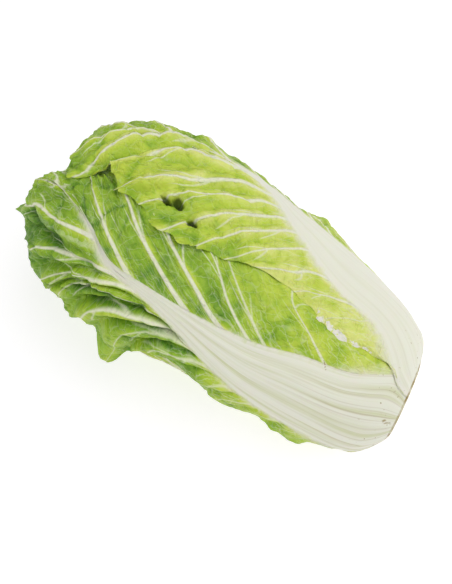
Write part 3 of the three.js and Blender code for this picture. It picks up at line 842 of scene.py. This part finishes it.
def hollows(leaf, p, angle):
    """Depth of the PITS in this leaf."""
    extra, aside = leaf["pit"], angle / degrees_per_mm(p)
    shift = 1.2 * waver(p / 4, aside / 4, PIT_SEED)
    pits = 0 * p
    for at, turn, long, wide, depth in PITS:
        far = np.hypot((p - at + shift) / (long + extra),
                       (aside - turn / degrees_per_mm(p) + shift) / (wide + extra))
        pits = np.maximum(pits, (depth + extra) * np.exp(-far ** 4))
    return pits


def held_back(low, thickness, p, angle, ceiling):
    """Nothing stands out too far: least of all near the cut, where the petioles lie tight."""
    soft = lerp(MOST, 3 * MOST, smooth(np.abs(angle), 55, 85))
    free = smooth(p, *FREE_FADE)
    most, soft = lerp(ceiling, soft, free), lerp(1.0, soft, free)
    high_up = np.maximum(low + thickness - most, 0)
    return low - high_up + soft * np.tanh(high_up / soft)


def leaf_faces(leaf, sizes):
    """Outer and inner face of a leaf laid over the bed, and what its finish reads."""
    layout = Layout(leaf)
    bed = Bed(sizes)
    for other in ALL_LEAVES[:ALL_LEAVES.index(leaf)]:
        bed.raise_to(*LAID[other["name"]])
    bed.settle()
    share = layout.share
    spread = share * layout.grown[:, None]
    p, angle, rolled = curled(layout, leaf)
    lift, swollen, own = blade_lift(layout, leaf, sizes, p, angle)
    lift = lift + rolled * layout.grown[:, None]

    # The seat: close to the bed at the margin and at the petiole's sides, looser between.
    at_base = 1 - smooth(p, *BASE_FADE)
    at_side = at_base * smooth(layout.rib_across, 0.6, 1)
    seat_at_margin, seat_at_petiole = leaf["seat"]
    gap = lerp(lerp(1.0, 0.3, at_base), seat_at_margin, smooth(spread, 0.75, 1))
    gap = lerp(gap, seat_at_petiole, at_side * (1 - smooth(spread, 0.2, 0.6)))
    nearness = np.maximum(smooth(spread, 0.6, 0.9), at_side)
    seat = lerp(bed.at(p, angle, bed.firm), bed.at(p, angle, bed.close), nearness) + gap

    crown, ridges, ridge_height = midrib(layout, leaf, p)
    rib_thickness = (np.maximum(along(RIB_THICKNESS, p), BLADE) - BLADE) * crown * leaf["rib"]
    thinned = np.maximum(smooth(spread, 0.7, 1), at_base * smooth(layout.rib_across, 0.85, 1))
    thickness = lerp(BLADE, sizes.margin / MM, thinned) + rib_thickness
    base = seat
    if leaf["envelope"] is not None:
        # An outer leaf spans the hollows under it and keeps to the head's outline.
        fall = layout.halves("drop") * spread ** 1.5
        drawn_in = BUTT_DRAWN_IN * (1 - smooth(p, *BUTT_FADE))
        base = np.maximum(base, leaf["envelope"] - thickness - fall - drawn_in)
    vein_height, vein_facts = vein_lines(layout, leaf, sizes, p, angle)
    thickness = thickness + ridge_height + vein_height

    # The two halves of a blade meet at its tip, and are alike there.
    even = smooth(layout.phases, layout.tip - 2, layout.tip) / 2
    lift, thickness = (lerp(part, part[:, ::-1], even) for part in (lift, thickness))
    low = held_back(np.maximum(base + lift, seat + 0.2 * lift), thickness, p, angle, leaf["ceiling"])
    pits = hollows(leaf, p, angle)
    low = low - pits
    outer = low + thickness
    LAID[leaf["name"]] = (p, angle, outer)
    # Near the cut the flesh reaches down to the layer below, so that no hollow is cut open.
    filled = np.minimum(low, bed.at(p, angle, bed.close) + 0.3)
    low = lerp(low, filled, 1 - smooth(p, *FLESH_FADE))

    tone = lerp(layout.halves("tone", 1), layout.halves("tone", 2), share ** leaf["tone_bend"])
    across = (angle - along(leaf["centre"], p)) / degrees_per_mm(p)
    facts = {
        **vein_facts,
        # tone with painted shade along the creases and valleys from the leaf's own paths
        "tone": tone + near_paths([], leaf["painted_shade_and_tone"], p, angle),
        # painted light on the swellings and lumps, painted shade in the dents and folds
        "swell": np.clip(swollen * SWELL_SHADE + 0.03 * own, -0.6, 0.5),
        # the pits' depth, which the finish turns into painted shade
        "painted_pit_shade": pits,
        "mark": near_paths([], leaf["marks"], p, angle),
        "torn": smooth(share, 0.75, 0.93) * along(leaf["torn"], layout.phases),
        "band": ridges,
        "grain": np.stack([layout.across * 25, p, 0 * p], -1),
        "web": np.stack([p, across, 0 * p], -1),
    }
    outside, inside = head_point(p, angle, outer), head_point(p, angle, low)
    for face, lowest in ((outside, 0.0), (inside, LIFTED)):
        face[..., 2] = np.maximum(face[..., 2], lowest)
    ends = stem_cut(outside)
    facts = {name: ended(values, *ends) for name, values in facts.items()}
    return ended(outside, *ends), ended(inside, *stem_cut(inside)), facts


# ---- Meshes -------------------------------------------------------------------------


def slab(rows, columns, layers):
    """A flat grid, one unit wide and long, of one layer or of two that enclose a body."""
    work = bmesh.new()
    bmesh.ops.create_grid(work, x_segments=columns, y_segments=rows, size=0.5)
    if layers == 2:
        grown = bmesh.ops.extrude_face_region(work, geom=work.faces[:], use_keep_orig=True)
        raised = [item for item in grown["geom"] if isinstance(item, bmesh.types.BMVert)]
        bmesh.ops.translate(work, verts=raised, vec=(0, 0, 1))
        bmesh.ops.recalc_face_normals(work, faces=work.faces[:])
        # The tip gets no end wall: the blade's two halves meet there, and are merged later.
        tip = [face for face in work.faces if all(v.co.y > SLAB_TIP for v in face.verts)]
        bmesh.ops.delete(work, geom=tip, context="FACES")
    mesh = bpy.data.meshes.new("slab")
    work.to_mesh(mesh)
    work.free()
    return mesh


def shaped(mesh, rows, columns, layers, facts):
    """Moves a slab's vertices to the places worked out for each row and column."""
    count = len(mesh.vertices)
    spots = np.empty(count * 3, np.float32)
    mesh.vertices.foreach_get("co", spots)
    spots = spots.reshape(-1, 3)
    column = np.rint((spots[:, 0] + 0.5) * columns).astype(int)
    row = np.rint((spots[:, 1] + 0.5) * rows).astype(int)
    top = spots[:, 2] > 0.5
    moved = layers[0][row, column]
    if len(layers) == 2:
        moved = np.where(top[:, None], moved, layers[1][row, column])
    mesh.vertices.foreach_set("co", (moved * MM).astype(np.float32).ravel())
    for name, values in facts.items():
        if values.ndim == 3:
            layer = mesh.attributes.new(name, "FLOAT_VECTOR", "POINT")
            layer.data.foreach_set("vector", values[row, column].astype(np.float32).ravel())
        else:
            layer = mesh.attributes.new(name, "FLOAT", "POINT")
            layer.data.foreach_set("value", values[row, column].astype(np.float32))


def closed(mesh, trim=False):
    """Merges what has met, trims a piece at the stem cut if asked to, and turns its faces outwards."""
    work = bmesh.new()
    work.from_mesh(mesh)
    bmesh.ops.remove_doubles(work, verts=work.verts[:], dist=MERGE)
    if trim:
        cut = bmesh.ops.bisect_plane(work, geom=work.verts[:] + work.edges[:] + work.faces[:], dist=MERGE,
                                     plane_co=(CUT_X * MM, 0, AXIS_HEIGHT * MM), plane_no=CUT_NORMAL,
                                     clear_outer=True)
        rim = [item for item in cut["geom_cut"] if isinstance(item, bmesh.types.BMEdge) and item.is_boundary]
        bmesh.ops.edgeloop_fill(work, edges=rim)
    if work.calc_volume(signed=True) < 0:
        bmesh.ops.reverse_faces(work, faces=work.faces[:])
    for face in work.faces:
        spots = np.array([vert.co for vert in face.verts]) / MM
        face.smooth = bool(np.abs(from_cut(spots)).max() > IN_CUT)
    work.normal_update()
    for edge in work.edges:
        if len(edge.link_faces) == 2:
            one, other = edge.link_faces
            edge.smooth = one.smooth == other.smooth and edge.calc_face_angle(0.0) < SHARP
    work.to_mesh(mesh)
    work.free()


def piece(name, mesh, material, node):
    """Puts a finished mesh in the scene, in place of its node."""
    mesh.name = name
    mesh.materials.append(material)
    item = bpy.data.objects.new(name, mesh)
    bpy.context.scene.collection.objects.link(item)
    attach(item, "root")
    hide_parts(node)


def build_leaf(leaf, scene, node):
    """Lays, closes and finishes one leaf."""
    sizes, colours = scene.cabbage_sizes, scene.cabbage_colours
    outside, inside, facts = leaf_faces(leaf, sizes)
    rows, columns = outside.shape[0] - 1, outside.shape[1] - 1
    mesh = slab(rows, columns, 2)
    shaped(mesh, rows, columns, (outside, inside), facts)
    closed(mesh)
    piece(leaf["name"], mesh, leaf_finish(leaf, colours), node)


# ---- Finishes -------------------------------------------------------------------------


class Finish:
    """A material and short ways to add nodes to it."""

    def __init__(self, name):
        self.material = bpy.data.materials.new(name)
        self.material.use_nodes = True
        self.tree = self.material.node_tree
        self.shader = self.tree.nodes["Principled BSDF"]

    def node(self, kind, inputs=(), **settings):
        made = self.tree.nodes.new(kind)
        for key, value in settings.items():
            setattr(made, key, value)
        self.give(made, inputs)
        return made

    def give(self, node, inputs):
        """Links sockets to a node's inputs, and sets plain values on the others."""
        for key, value in dict(inputs).items():
            if isinstance(value, bpy.types.NodeSocket):
                self.tree.links.new(value, node.inputs[key])
            else:
                node.inputs[key].default_value = value

    def fact(self, name, vector=False):
        made = self.node("ShaderNodeAttribute", attribute_name=name)
        return made.outputs["Vector" if vector else "Fac"]

    def math(self, operation, a, b=0.0, c=0.0):
        return self.node("ShaderNodeMath", {0: a, 1: b, 2: c}, operation=operation).outputs[0]

    def plus(self, a, b):
        return self.math("ADD", a, b)

    def minus(self, a, b):
        return self.math("SUBTRACT", a, b)

    def times(self, a, b):
        return self.math("MULTIPLY", a, b)

    def least(self, a, b):
        return self.math("MINIMUM", a, b)

    def most(self, a, b):
        return self.math("MAXIMUM", a, b)

    def size_of(self, a):
        return self.math("ABSOLUTE", a)

    def times_plus(self, a, b, c):
        return self.math("MULTIPLY_ADD", a, b, c)

    def eased(self, value, low, high, start=0.0, end=1.0):
        inputs = {"Value": value, "From Min": low, "From Max": high, "To Min": start, "To Max": end}
        return self.node("ShaderNodeMapRange", inputs, interpolation_type="SMOOTHSTEP").outputs[0]

    def stretched(self, vector, scale):
        return self.node("ShaderNodeMapping", {"Vector": vector, "Scale": scale}).outputs[0]

    def noise(self, vector, scale, detail=3.0, roughness=0.55):
        inputs = {"Vector": vector, "Scale": scale, "Detail": detail, "Roughness": roughness}
        return self.node("ShaderNodeTexNoise", inputs).outputs[0]

    def of_vectors(self, operation, inputs, output=0):
        return self.node("ShaderNodeVectorMath", inputs, operation=operation).outputs[output]

    def bent(self, vector, over, scale, amount):
        """A vector pushed aside by noise over another one."""
        push = self.node("ShaderNodeTexNoise", {"Vector": over, "Scale": scale, "Detail": 2.0}).outputs[1]
        return self.of_vectors("MULTIPLY_ADD", {0: push, 1: amount, 2: vector})

    def net(self, vector, scale):
        inputs = {"Vector": vector, "Scale": scale}
        return self.node("ShaderNodeTexVoronoi", inputs, feature="DISTANCE_TO_EDGE").outputs[0]

    def mixed(self, share, *colours):
        """Two colours, each a socket or three numbers, mixed by a share."""
        a, b = (part if isinstance(part, bpy.types.NodeSocket) else (*part, 1.0) for part in colours)
        made = self.node("ShaderNodeMix", data_type="RGBA")
        self.give(made, {0: share, 6: a, 7: b})
        return made.outputs[2]

    def ramp(self, value, stops):
        made = self.node("ShaderNodeValToRGB", {0: value})
        scale = made.color_ramp.elements
        while len(scale) < len(stops):
            scale.new(0.5)
        for element, (position, colour) in zip(scale, stops):
            element.position = position
            element.color = tuple(colour) + (1.0,)
        return made.outputs[0]

    def veins(self):
        """Distance in mm outside the main veins, and outside the one fork on each side of them."""
        run, share, side = self.split(self.fact("vein", True))
        spacing = self.fact("spacing")
        part = self.math("FRACT", run)
        other = self.minus(1.0, part)
        vein = self.times(self.least(part, other), spacing)
        cell = self.node("ShaderNodeCombineXYZ", {0: self.math("FLOOR", run), 1: side, 2: 0.0}).outputs[0]
        luck = self.split(self.node("ShaderNodeTexWhiteNoise", {"Vector": cell}).outputs["Color"])
        lines = []
        for k, from_vein in enumerate((part, other)):
            after = self.minus(share, self.times_plus(luck[k], 0.45, 0.2))
            bent = self.times(self.math("POWER", self.most(after, 0.0), 0.8), 1.1)
            away = self.size_of(self.minus(from_vein, bent))
            gone = self.plus(self.eased(after, 0.0, 0.01, 9.0, 0.0), self.eased(bent, 0.3, 0.46, 0.0, 0.06))
            lines.append(self.plus(away, gone))
        fork = self.times(self.least(*lines), spacing)
        return self.minus(vein, self.fact("width")), self.minus(fork, 0.3)

    def below_cut(self, place_at):
        """Distance in mm from the stem cut into the head."""
        towards = tuple(part / MM for part in CUT_NORMAL)
        run = self.of_vectors("DOT_PRODUCT", {0: place_at, 1: towards}, "Value")
        return self.minus(CUT_X * CUT_NORMAL[0] + AXIS_HEIGHT * CUT_NORMAL[2], run)

    def split(self, vector):
        return self.node("ShaderNodeSeparateXYZ", {0: vector}).outputs

    def connect(self, socket, value):
        self.tree.links.new(value, self.shader.inputs[socket])

    def preset(self, values):
        """Plain values on the shader's own sockets."""
        for socket, value in values.items():
            self.shader.inputs[socket].default_value = value

    def bump(self, height, distance, strength):
        made = self.node("ShaderNodeBump", {"Height": height, "Distance": distance, "Strength": strength})
        self.connect("Normal", made.outputs[0])


def at_stem_cut(paint, skin, place_at, colours):
    """The skin with flesh, a dried rim and specks near the stem cut, and the bruise marks."""
    depth = paint.below_cut(place_at)
    stain = paint.noise(place_at, 160.0, 3.0)
    at_cut = paint.eased(depth, 1.4, 0.3)
    flesh = paint.mixed(paint.eased(stain, 0.35, 0.6, 0.2, 0.8), colours.flesh, colours.rib)
    skin = paint.mixed(at_cut, skin, flesh)
    at_rim = paint.eased(paint.size_of(paint.minus(depth, 1.0)), 1.1, 0.3)
    dried = paint.times(at_rim, paint.eased(stain, 0.35, 0.6, 0.3, 1.0))
    skin = paint.mixed(dried, skin, colours.cut)
    speck = paint.noise(paint.stretched(place_at, (140.0, 420.0, 420.0)), 1.0, 1.0)
    low_down = paint.eased(depth, 34.0, 4.0)
    skin = paint.mixed(paint.times(paint.eased(speck, 0.71, 0.76), low_down), skin, colours.cut)
    mark = paint.times_plus(stain, 0.9, paint.fact("mark"))
    return paint.mixed(paint.eased(mark, 1.0, 1.25, 0.0, 0.8), skin, colours.cut)


def rib_colour(paint, leaf, grain, colours):
    """Ribbed white midrib with green grooves and tan streaks, and the streaks themselves."""
    streaks = paint.noise(paint.stretched(grain, (0.3, 0.006, 1.0)), 1.0, 3.0)
    grooved = paint.mixed(leaf["groove"], colours.rib, colours.groove)
    down_rib = paint.split(grain)[1]
    far = paint.eased(down_rib, 120.0, 180.0, 0.0, 0.8)
    band = paint.times_plus(paint.fact("band"), 0.16, streaks)
    rib = paint.mixed(paint.most(paint.eased(band, 0.22, 0.6), far), grooved, colours.rib)
    tan = paint.noise(paint.stretched(grain, (0.55, 0.004, 1.0)), 1.0, 2.0)
    tan = paint.times(paint.eased(tan, 0.5, 0.7, 0.0, 0.4), paint.eased(down_rib, 120.0, 20.0))
    return paint.mixed(paint.times(tan, leaf["groove"]), rib, colours.cut), streaks, down_rib


def leaf_finish(leaf, colours):
    """Blade with a vein net, halo and white veins, over a ribbed white midrib."""
    paint = Finish(leaf["name"] + "_finish")
    web, grain = paint.fact("web", True), paint.fact("grain", True)
    tone, from_rib, power = paint.fact("tone"), paint.fact("from_rib"), paint.fact("power")
    vein, fork = paint.veins()

    # Tone of the blade: paler beside the veins and near the midrib, with painted light on the swellings and
    # painted shade in the dents and folds.
    broad = paint.noise(web, 0.035, 3.0)
    tone = paint.plus(tone, paint.times(paint.minus(broad, 0.5), 0.14))
    # Painted light and shade: paler on the swellings, darker in the dents between.
    tone = paint.minus(tone, paint.times(paint.fact("swell"), 0.34))
    halo = paint.times(paint.eased(vein, 5.5, 0.0), power)
    tone = paint.minus(tone, paint.times(halo, 0.22))
    near_rib = paint.eased(from_rib, 14.0, 0.0)
    tone = paint.minus(tone, paint.times(near_rib, 0.22))
    blade = paint.ramp(tone, [
        (0.0, colours.heart), (0.25, colours.yellow), (0.5, colours.green), (0.75, colours.leaf),
        (1.0, colours.deep),
    ])

    # The vein net, the lanes between the veins, and the veins with their forks.
    web = paint.bent(web, web, 0.12, (9.0, 9.0, 0.0))
    net_strength = paint.eased(tone, 0.1, 0.5, 0.3, 1.0)
    turned = {"Vector": web, "Rotation": (0.0, 0.0, 0.7), "Scale": (0.8, 1.25, 1.0)}
    slanted = paint.node("ShaderNodeMapping", turned)
    wide_net, fine_net = paint.net(slanted.outputs[0], 0.1), paint.net(web, 0.3)
    blade = paint.mixed(paint.eased(fine_net, 0.1, 0.0, 0.0, 0.14), blade, colours.yellow)
    wide_line = paint.times(paint.eased(wide_net, 0.04, 0.0, 0.0, 0.18), net_strength)
    blade = paint.mixed(wide_line, blade, colours.vein)
    wavy = paint.bent(paint.fact("vein", True), web, 0.16, (0.35, 0.2, 0.0))
    lanes = paint.net(paint.stretched(wavy, (3.0, 1.5, 9.0)), 1.0)
    strong = paint.times(paint.eased(from_rib, 60.0, 2.0, 0.05, 0.32), paint.eased(from_rib, 0.0, 3.0))
    blade = paint.mixed(paint.times(paint.eased(lanes, 0.05, 0.01), strong), blade, colours.vein)
    forked = paint.times(paint.eased(fork, 0.6, -0.3, 0.0, 0.7), paint.eased(power, 0.1, 0.7))
    blade = paint.mixed(forked, blade, colours.vein)
    whiteness = paint.times(paint.eased(vein, 0.7, -0.5), paint.eased(power, 0.0, 0.7, 0.0, 1.0))
    blade = paint.mixed(whiteness, blade, colours.vein)
    tear = paint.noise(paint.stretched(web, (0.24, 0.2, 1.0)), 1.0, 2.0)
    torn = paint.eased(paint.times(paint.fact("torn"), tear), 0.46, 0.54)
    blade = paint.mixed(torn, blade, colours.rib)

    # The midrib, with a feathered edge on the blade.
    rib, streaks, down_rib = rib_colour(paint, leaf, grain, colours)
    feather = paint.noise(paint.stretched(grain, (0.1, 0.25, 1.0)), 1.0, 2.0)
    edge = paint.plus(from_rib, paint.times(paint.minus(feather, 0.5), 9.0))
    reach = paint.eased(down_rib, 75.0, 25.0, 8.5, 17.0)
    skin = paint.mixed(paint.eased(edge, reach, -3.0), blade, rib)
    # Painted shade: the pits are darkened towards a deep green, more where they are deeper.
    painted_pit_shade = paint.times_plus(tear, 5.0, paint.fact("painted_pit_shade"))
    skin = paint.mixed(paint.eased(painted_pit_shade, 4.2, 8.0, 0.0, 0.85), skin, colours.painted_pit_shade)
    place_at = paint.node("ShaderNodeTexCoord").outputs["Object"]
    paint.connect("Base Color", at_stem_cut(paint, skin, place_at, colours))

    # Relief between the veins, on them and along the midrib.
    on_blade = paint.eased(from_rib, -1.0, 3.0)
    puckers = paint.times(paint.eased(wide_net, 0.0, 0.4, 0.0, 0.8),
                         paint.times(on_blade, net_strength))
    small = paint.times(paint.eased(fine_net, 0.0, 0.3), paint.times(on_blade, 0.3))
    height = paint.plus(puckers, small)
    raised = paint.times(paint.eased(vein, 0.9, -0.6, 0.0, 0.4), paint.times(on_blade, power))
    height = paint.plus(height, raised)
    height = paint.plus(height, paint.times(streaks, 0.4))
    paint.bump(height, 0.0014, 0.9)
    rough = paint.eased(paint.noise(place_at, 90.0, 2.0), 0.3, 0.7, 0.42, 0.6)
    paint.connect("Roughness", rough)
    paint.preset({
        "Specular IOR Level": 0.3, "Subsurface Weight": 0.12, "Subsurface Radius": (0.5, 1.0, 0.25),
        "Subsurface Scale": 0.003,
    })
    return paint.material


def flesh_finish(name, colours):
    """Pale flesh with a ring of vessels and dried specks on the cut."""
    paint = Finish(name)
    place_at = paint.node("ShaderNodeTexCoord").outputs["Object"]
    mottle = paint.noise(place_at, 220.0, 4.0)
    from_middle = paint.of_vectors("ADD", {0: place_at, 1: (0.0, 0.0, -AXIS_HEIGHT * MM)})
    flat = paint.stretched(from_middle, (0.0, 1 / MM, 1 / MM))
    away = paint.of_vectors("LENGTH", {0: flat}, "Value")
    away = paint.times_plus(paint.noise(place_at, 90.0, 2.0), 3.0, away)
    rings = paint.math("SINE", paint.times(away, 2.6))
    flesh = paint.ramp(paint.times_plus(rings, 0.12, mottle), [(0.3, colours.flesh), (0.7, colours.rib)])
    vessels = paint.eased(paint.size_of(paint.minus(away, 13.0)), 2.5, 0.5, 0.0, 0.6)
    flesh = paint.mixed(vessels, flesh, colours.groove)
    at_cut = paint.eased(paint.below_cut(place_at), 1.4, 0.3)
    flesh = paint.mixed(paint.times(at_cut, paint.eased(mottle, 0.6, 0.74)), flesh, colours.cut)
    paint.connect("Base Color", flesh)
    paint.bump(mottle, 0.0006, 0.6)
    paint.preset({"Roughness": 0.6})
    return paint.material


# ---- Settings ---------------------------------------------------------------------------


def number(name, description, default, low, high, unit="NONE"):
    return FloatProperty(name=name, description=description, default=default, min=low, max=high, unit=unit)


def length(*facts):
    return number(*facts, unit="LENGTH")


class CabbageSizes(PropertyGroup):
    stack: length("Leaf stack", "Depth of the wrapping leaves over the heart", 0.025, 0.005, 0.04)
    stack_at_cut: length("Stack at the cut", "The same depth at the stem cut", 0.012, 0.005, 0.03)
    margin: length("Margin", "Thickness of a leaf at its edge", 0.0006, 0.0004, 0.002)
    vein_height: length("Vein height", "How far a vein stands out of the blade", 0.0006, 0.0, 0.004)
    crumple: length("Crumple", "Depth of the soft dents in a blade", 0.0009, 0.0, 0.006)


def colour(name, description, hexadecimal):
    return FloatVectorProperty(name=name, description=description, default=linear(hexadecimal), size=3,
                               min=0.0, max=1.0, subtype="COLOR")


class CabbageColours(PropertyGroup):
    rib: colour("Midrib", "Cream white of the midribs", "f1f1e0")
    groove: colour("Midrib grooves", "Pale green in the grooves of a midrib", "d8dbb0")
    vein: colour("Veins", "Pale colour of the side veins", "f0f3d4")
    heart: colour("Heart", "Palest yellow, near the base and in the heart", "e3eb84")
    yellow: colour("Yellow green", "Young part of a blade", "c6db4a")
    green: colour("Light green", "Middle of a blade", "97bd2c")
    leaf: colour("Leaf green", "Outer part of a blade", "68982a")
    deep: colour("Deep green", "Darkest part of a blade", "42711e")
    flesh: colour("Cut flesh", "Pale flesh of the stem cut", "e6e2c0")
    # Painted shade: the deep green that the pits are darkened towards.
    painted_pit_shade: colour("Painted pit shade", "Darkest green, deep between the folds", "2c4212")
    cut: colour("Cut edge", "Dried brown of the stem cut", "9c8742")


class CabbageStage(PropertyGroup):
    floor: colour("Floor", "Colour of the floor", "cacac8")
    sky: number("Soft light", "Strength of the even light from all around", 0.42, 0.0, 5.0)
    key: number("Main light", "Power of the large light above", 9.3, 0.0, 500.0, "POWER")
    glow: number("Floor glow", "Light that the floor gives off by itself", 0.62, 0.0, 2.0)
    azimuth: number("Camera azimuth", "Angle of the camera around the head", math.radians(34), -math.pi,
                    math.pi, "ROTATION")
    elevation: number("Camera elevation", "Angle of the camera above the floor", math.radians(65), 0.0,
                      math.pi / 2, "ROTATION")
    distance: length("Camera distance", "From the camera to the head", 1.15, 0.3, 5.0)
    lens: number("Lens", "Focal length of the camera", 98.6, 20.0, 300.0, "CAMERA")


# ---- Operators ---------------------------------------------------------------------------


def round_body(stations, trim=False):
    """A closed round body about the head's axis through (distance along, radius) stations."""
    points = np.array(stations, float)
    rows, columns = len(points) - 1, CORE_COLUMNS
    angle = np.linspace(0, 360, columns + 1)[None, :] % 360
    at = place(points[:, :1] + 0 * angle, points[:, 1:] + 0 * angle, angle)
    mesh = slab(rows, columns, 1)
    shaped(mesh, rows, columns, (at,), {})
    closed(mesh, trim)
    return mesh


class CABBAGE_OT_stem(Operator):
    """Model the short cut stem"""
    bl_idname = "cabbage.stem"
    bl_label = "Stem"

    def execute(self, context):
        scene = context.scene
        xs = np.array([-12, -8, -4, 0, 2, 4, 6, 9, 12, 16, 20, STEM_END - CORE_GAP])
        depth = stack_depth(scene.cabbage_sizes, np.interp(xs, RUN_X, RUN))
        radii = np.interp(xs, RUN_X, RUN_R) - depth - SKIN_GAP
        stations = [(xs[0], 0), *zip(xs, radii), (xs[-1], 0)]
        mesh = round_body(stations, trim=True)
        piece("stem_core", mesh, flesh_finish("stem_flesh", scene.cabbage_colours), "stem")
        return {"FINISHED"}


class CABBAGE_OT_heart(Operator):
    """Model the heart: a dense core and its own young leaves"""
    bl_idname = "cabbage.heart"
    bl_label = "Heart"

    def execute(self, context):
        scene = context.scene
        p = np.arange(30, HEAD_END - 4, HEART_STEP)
        x, r = profile_at(p)
        ox, outward = outward_at(p)
        depth = scene.cabbage_sizes.stack / MM + CORE_GAP + HEART_TAPER * smooth(p, 230, 300)
        rings = zip(x - depth * ox, r - depth * outward)
        stations = [(STEM_END, 0), (STEM_END, HEART_START)]
        stations += [ring for ring in rings if ring[0] > STEM_END + 1 and ring[1] > 2]
        stations.append((stations[-1][0] + 1.5, 0))
        mesh = round_body(stations)
        piece("heart_core", mesh, flesh_finish("heart_flesh", scene.cabbage_colours), "heart")
        for leaf in HEART_LEAVES:
            build_leaf(leaf, scene, "heart")
        return {"FINISHED"}


class CABBAGE_OT_inner_leaves(Operator):
    """Model the three leaves that show between the outer ones"""
    bl_idname = "cabbage.inner_leaves"
    bl_label = "Inner Leaves"

    def execute(self, context):
        for leaf, side in zip(INNER_LEAVES, ("top", "back", "front")):
            build_leaf(leaf, context.scene, f"leaf_inner_{side}")
        return {"FINISHED"}


class CABBAGE_OT_under_leaf(Operator):
    """Model the leaf that the head lies on"""
    bl_idname = "cabbage.under_leaf"
    bl_label = "Under Leaf"

    def execute(self, context):
        build_leaf(UNDER_LEAF, context.scene, "leaf_under")
        return {"FINISHED"}


class CABBAGE_OT_front_leaf(Operator):
    """Model the outer leaf with the broad ribbed midrib and bunched folds"""
    bl_idname = "cabbage.front_leaf"
    bl_label = "Front Leaf"

    def execute(self, context):
        build_leaf(FRONT_LEAF, context.scene, "leaf_front")
        return {"FINISHED"}


class CABBAGE_OT_top_leaf(Operator):
    """Model the outermost leaf, folded over the top of the head"""
    bl_idname = "cabbage.top_leaf"
    bl_label = "Top Leaf"

    def execute(self, context):
        build_leaf(TOP_LEAF, context.scene, "leaf_top")
        return {"FINISHED"}


# The stage, in metres.
CAMERA_AIM = (0.004, 0.002, 0.0493)
SENSOR = 36.0     # mm
LIGHT_AIM = (0.0, 0.0, 0.05)
FILL_SHARE = 0.34     # power of the fill light, of the main one
FLOOR_SIZE = 4.0
FLOOR_MOTTLE = (0.58, 0.565, 0.61)
FLOOR_GLOW = (1.0, 0.985, 1.015, 1.0)
CLIP_END = 20.0


def area_light(name, at, size, power):
    """A round light over the head, turned to it."""
    data = bpy.data.lights.new(name, "AREA")
    data.shape = "DISK"
    data.size = size
    data.energy = power
    lamp = bpy.data.objects.new(name, data)
    bpy.context.scene.collection.objects.link(lamp)
    lamp.location = at
    direction = np.array(LIGHT_AIM) - np.array(at)
    flat = math.hypot(direction[0], direction[1])
    turn = math.atan2(direction[1], direction[0]) - math.pi / 2
    lamp.rotation_euler = (math.atan2(flat, -direction[2]), 0, turn)


class CABBAGE_OT_stage(Operator):
    """Set the pale floor, the soft lights and the camera"""
    bl_idname = "cabbage.stage"
    bl_label = "Stage"

    def execute(self, context):
        scene = context.scene
        stage = scene.cabbage_stage
        work = bmesh.new()
        bmesh.ops.create_grid(work, x_segments=8, y_segments=8, size=FLOOR_SIZE)
        mesh = bpy.data.meshes.new("floor")
        work.to_mesh(mesh)
        work.free()
        paint = Finish("floor_finish")
        place_at = paint.node("ShaderNodeTexCoord").outputs["Object"]
        soft = paint.noise(place_at, 3.0, 2.0)
        paint.connect("Base Color", paint.mixed(paint.eased(soft, 0.2, 0.8), stage.floor, FLOOR_MOTTLE))
        paint.preset({"Roughness": 0.9, "Emission Color": FLOOR_GLOW, "Emission Strength": stage.glow})
        mesh.materials.append(paint.material)
        floor = bpy.data.objects.new("floor", mesh)
        scene.collection.objects.link(floor)

        world = bpy.data.worlds.new("studio")
        world.use_nodes = True
        background = world.node_tree.nodes["Background"]
        background.inputs[0].default_value = (1.0, 1.0, 1.0, 1.0)
        background.inputs[1].default_value = stage.sky
        scene.world = world
        area_light("key_light", (0.45, 0.35, 1.2), 1.7, stage.key)
        area_light("fill_light", (-0.6, -0.9, 0.9), 1.0, stage.key * FILL_SHARE)

        data = bpy.data.cameras.new("camera")
        data.lens = stage.lens
        data.sensor_width = SENSOR
        camera = bpy.data.objects.new("camera", data)
        scene.collection.objects.link(camera)
        flat = math.cos(stage.elevation)
        back = (math.sin(stage.azimuth) * flat, -math.cos(stage.azimuth) * flat, math.sin(stage.elevation))
        camera.location = [t + b * stage.distance for t, b in zip(CAMERA_AIM, back)]
        camera.rotation_euler = (math.pi / 2 - stage.elevation, 0, stage.azimuth)
        data.clip_end = CLIP_END
        scene.camera = camera
        scene.view_settings.view_transform = "Standard"
        return {"FINISHED"}


class CABBAGE_PT_panel(Panel):
    """Everything that the head is made of"""
    bl_idname = "CABBAGE_PT_panel"
    bl_label = "Napa Cabbage"
    bl_space_type = "VIEW_3D"
    bl_region_type = "UI"
    bl_category = "Cabbage"

    def draw(self, context):
        layout = self.layout
        for group in ("cabbage_sizes", "cabbage_colours", "cabbage_stage"):
            settings = getattr(context.scene, group)
            box = layout.box()
            for name in settings.__annotations__:
                box.prop(settings, name)
        for step in STEPS:
            layout.operator(step.bl_idname)


GROUPS = {"cabbage_sizes": CabbageSizes, "cabbage_colours": CabbageColours, "cabbage_stage": CabbageStage}
STEPS = (
    CABBAGE_OT_stem, CABBAGE_OT_heart, CABBAGE_OT_inner_leaves, CABBAGE_OT_under_leaf, CABBAGE_OT_front_leaf,
    CABBAGE_OT_top_leaf, CABBAGE_OT_stage,
)


def register():
    for kind in (*GROUPS.values(), *STEPS, CABBAGE_PT_panel):
        bpy.utils.register_class(kind)
    for name, kind in GROUPS.items():
        setattr(bpy.types.Scene, name, PointerProperty(type=kind))


def unregister():
    for name in GROUPS:
        delattr(bpy.types.Scene, name)
    for kind in reversed((*GROUPS.values(), *STEPS, CABBAGE_PT_panel)):
        bpy.utils.unregister_class(kind)


def main():
    register()
    bpy.ops.cabbage.stem()
    bpy.ops.cabbage.heart()
    bpy.ops.cabbage.inner_leaves()
    bpy.ops.cabbage.under_leaf()
    bpy.ops.cabbage.front_leaf()
    bpy.ops.cabbage.top_leaf()
    bpy.ops.cabbage.stage()


if __name__ == "__main__":
    main()
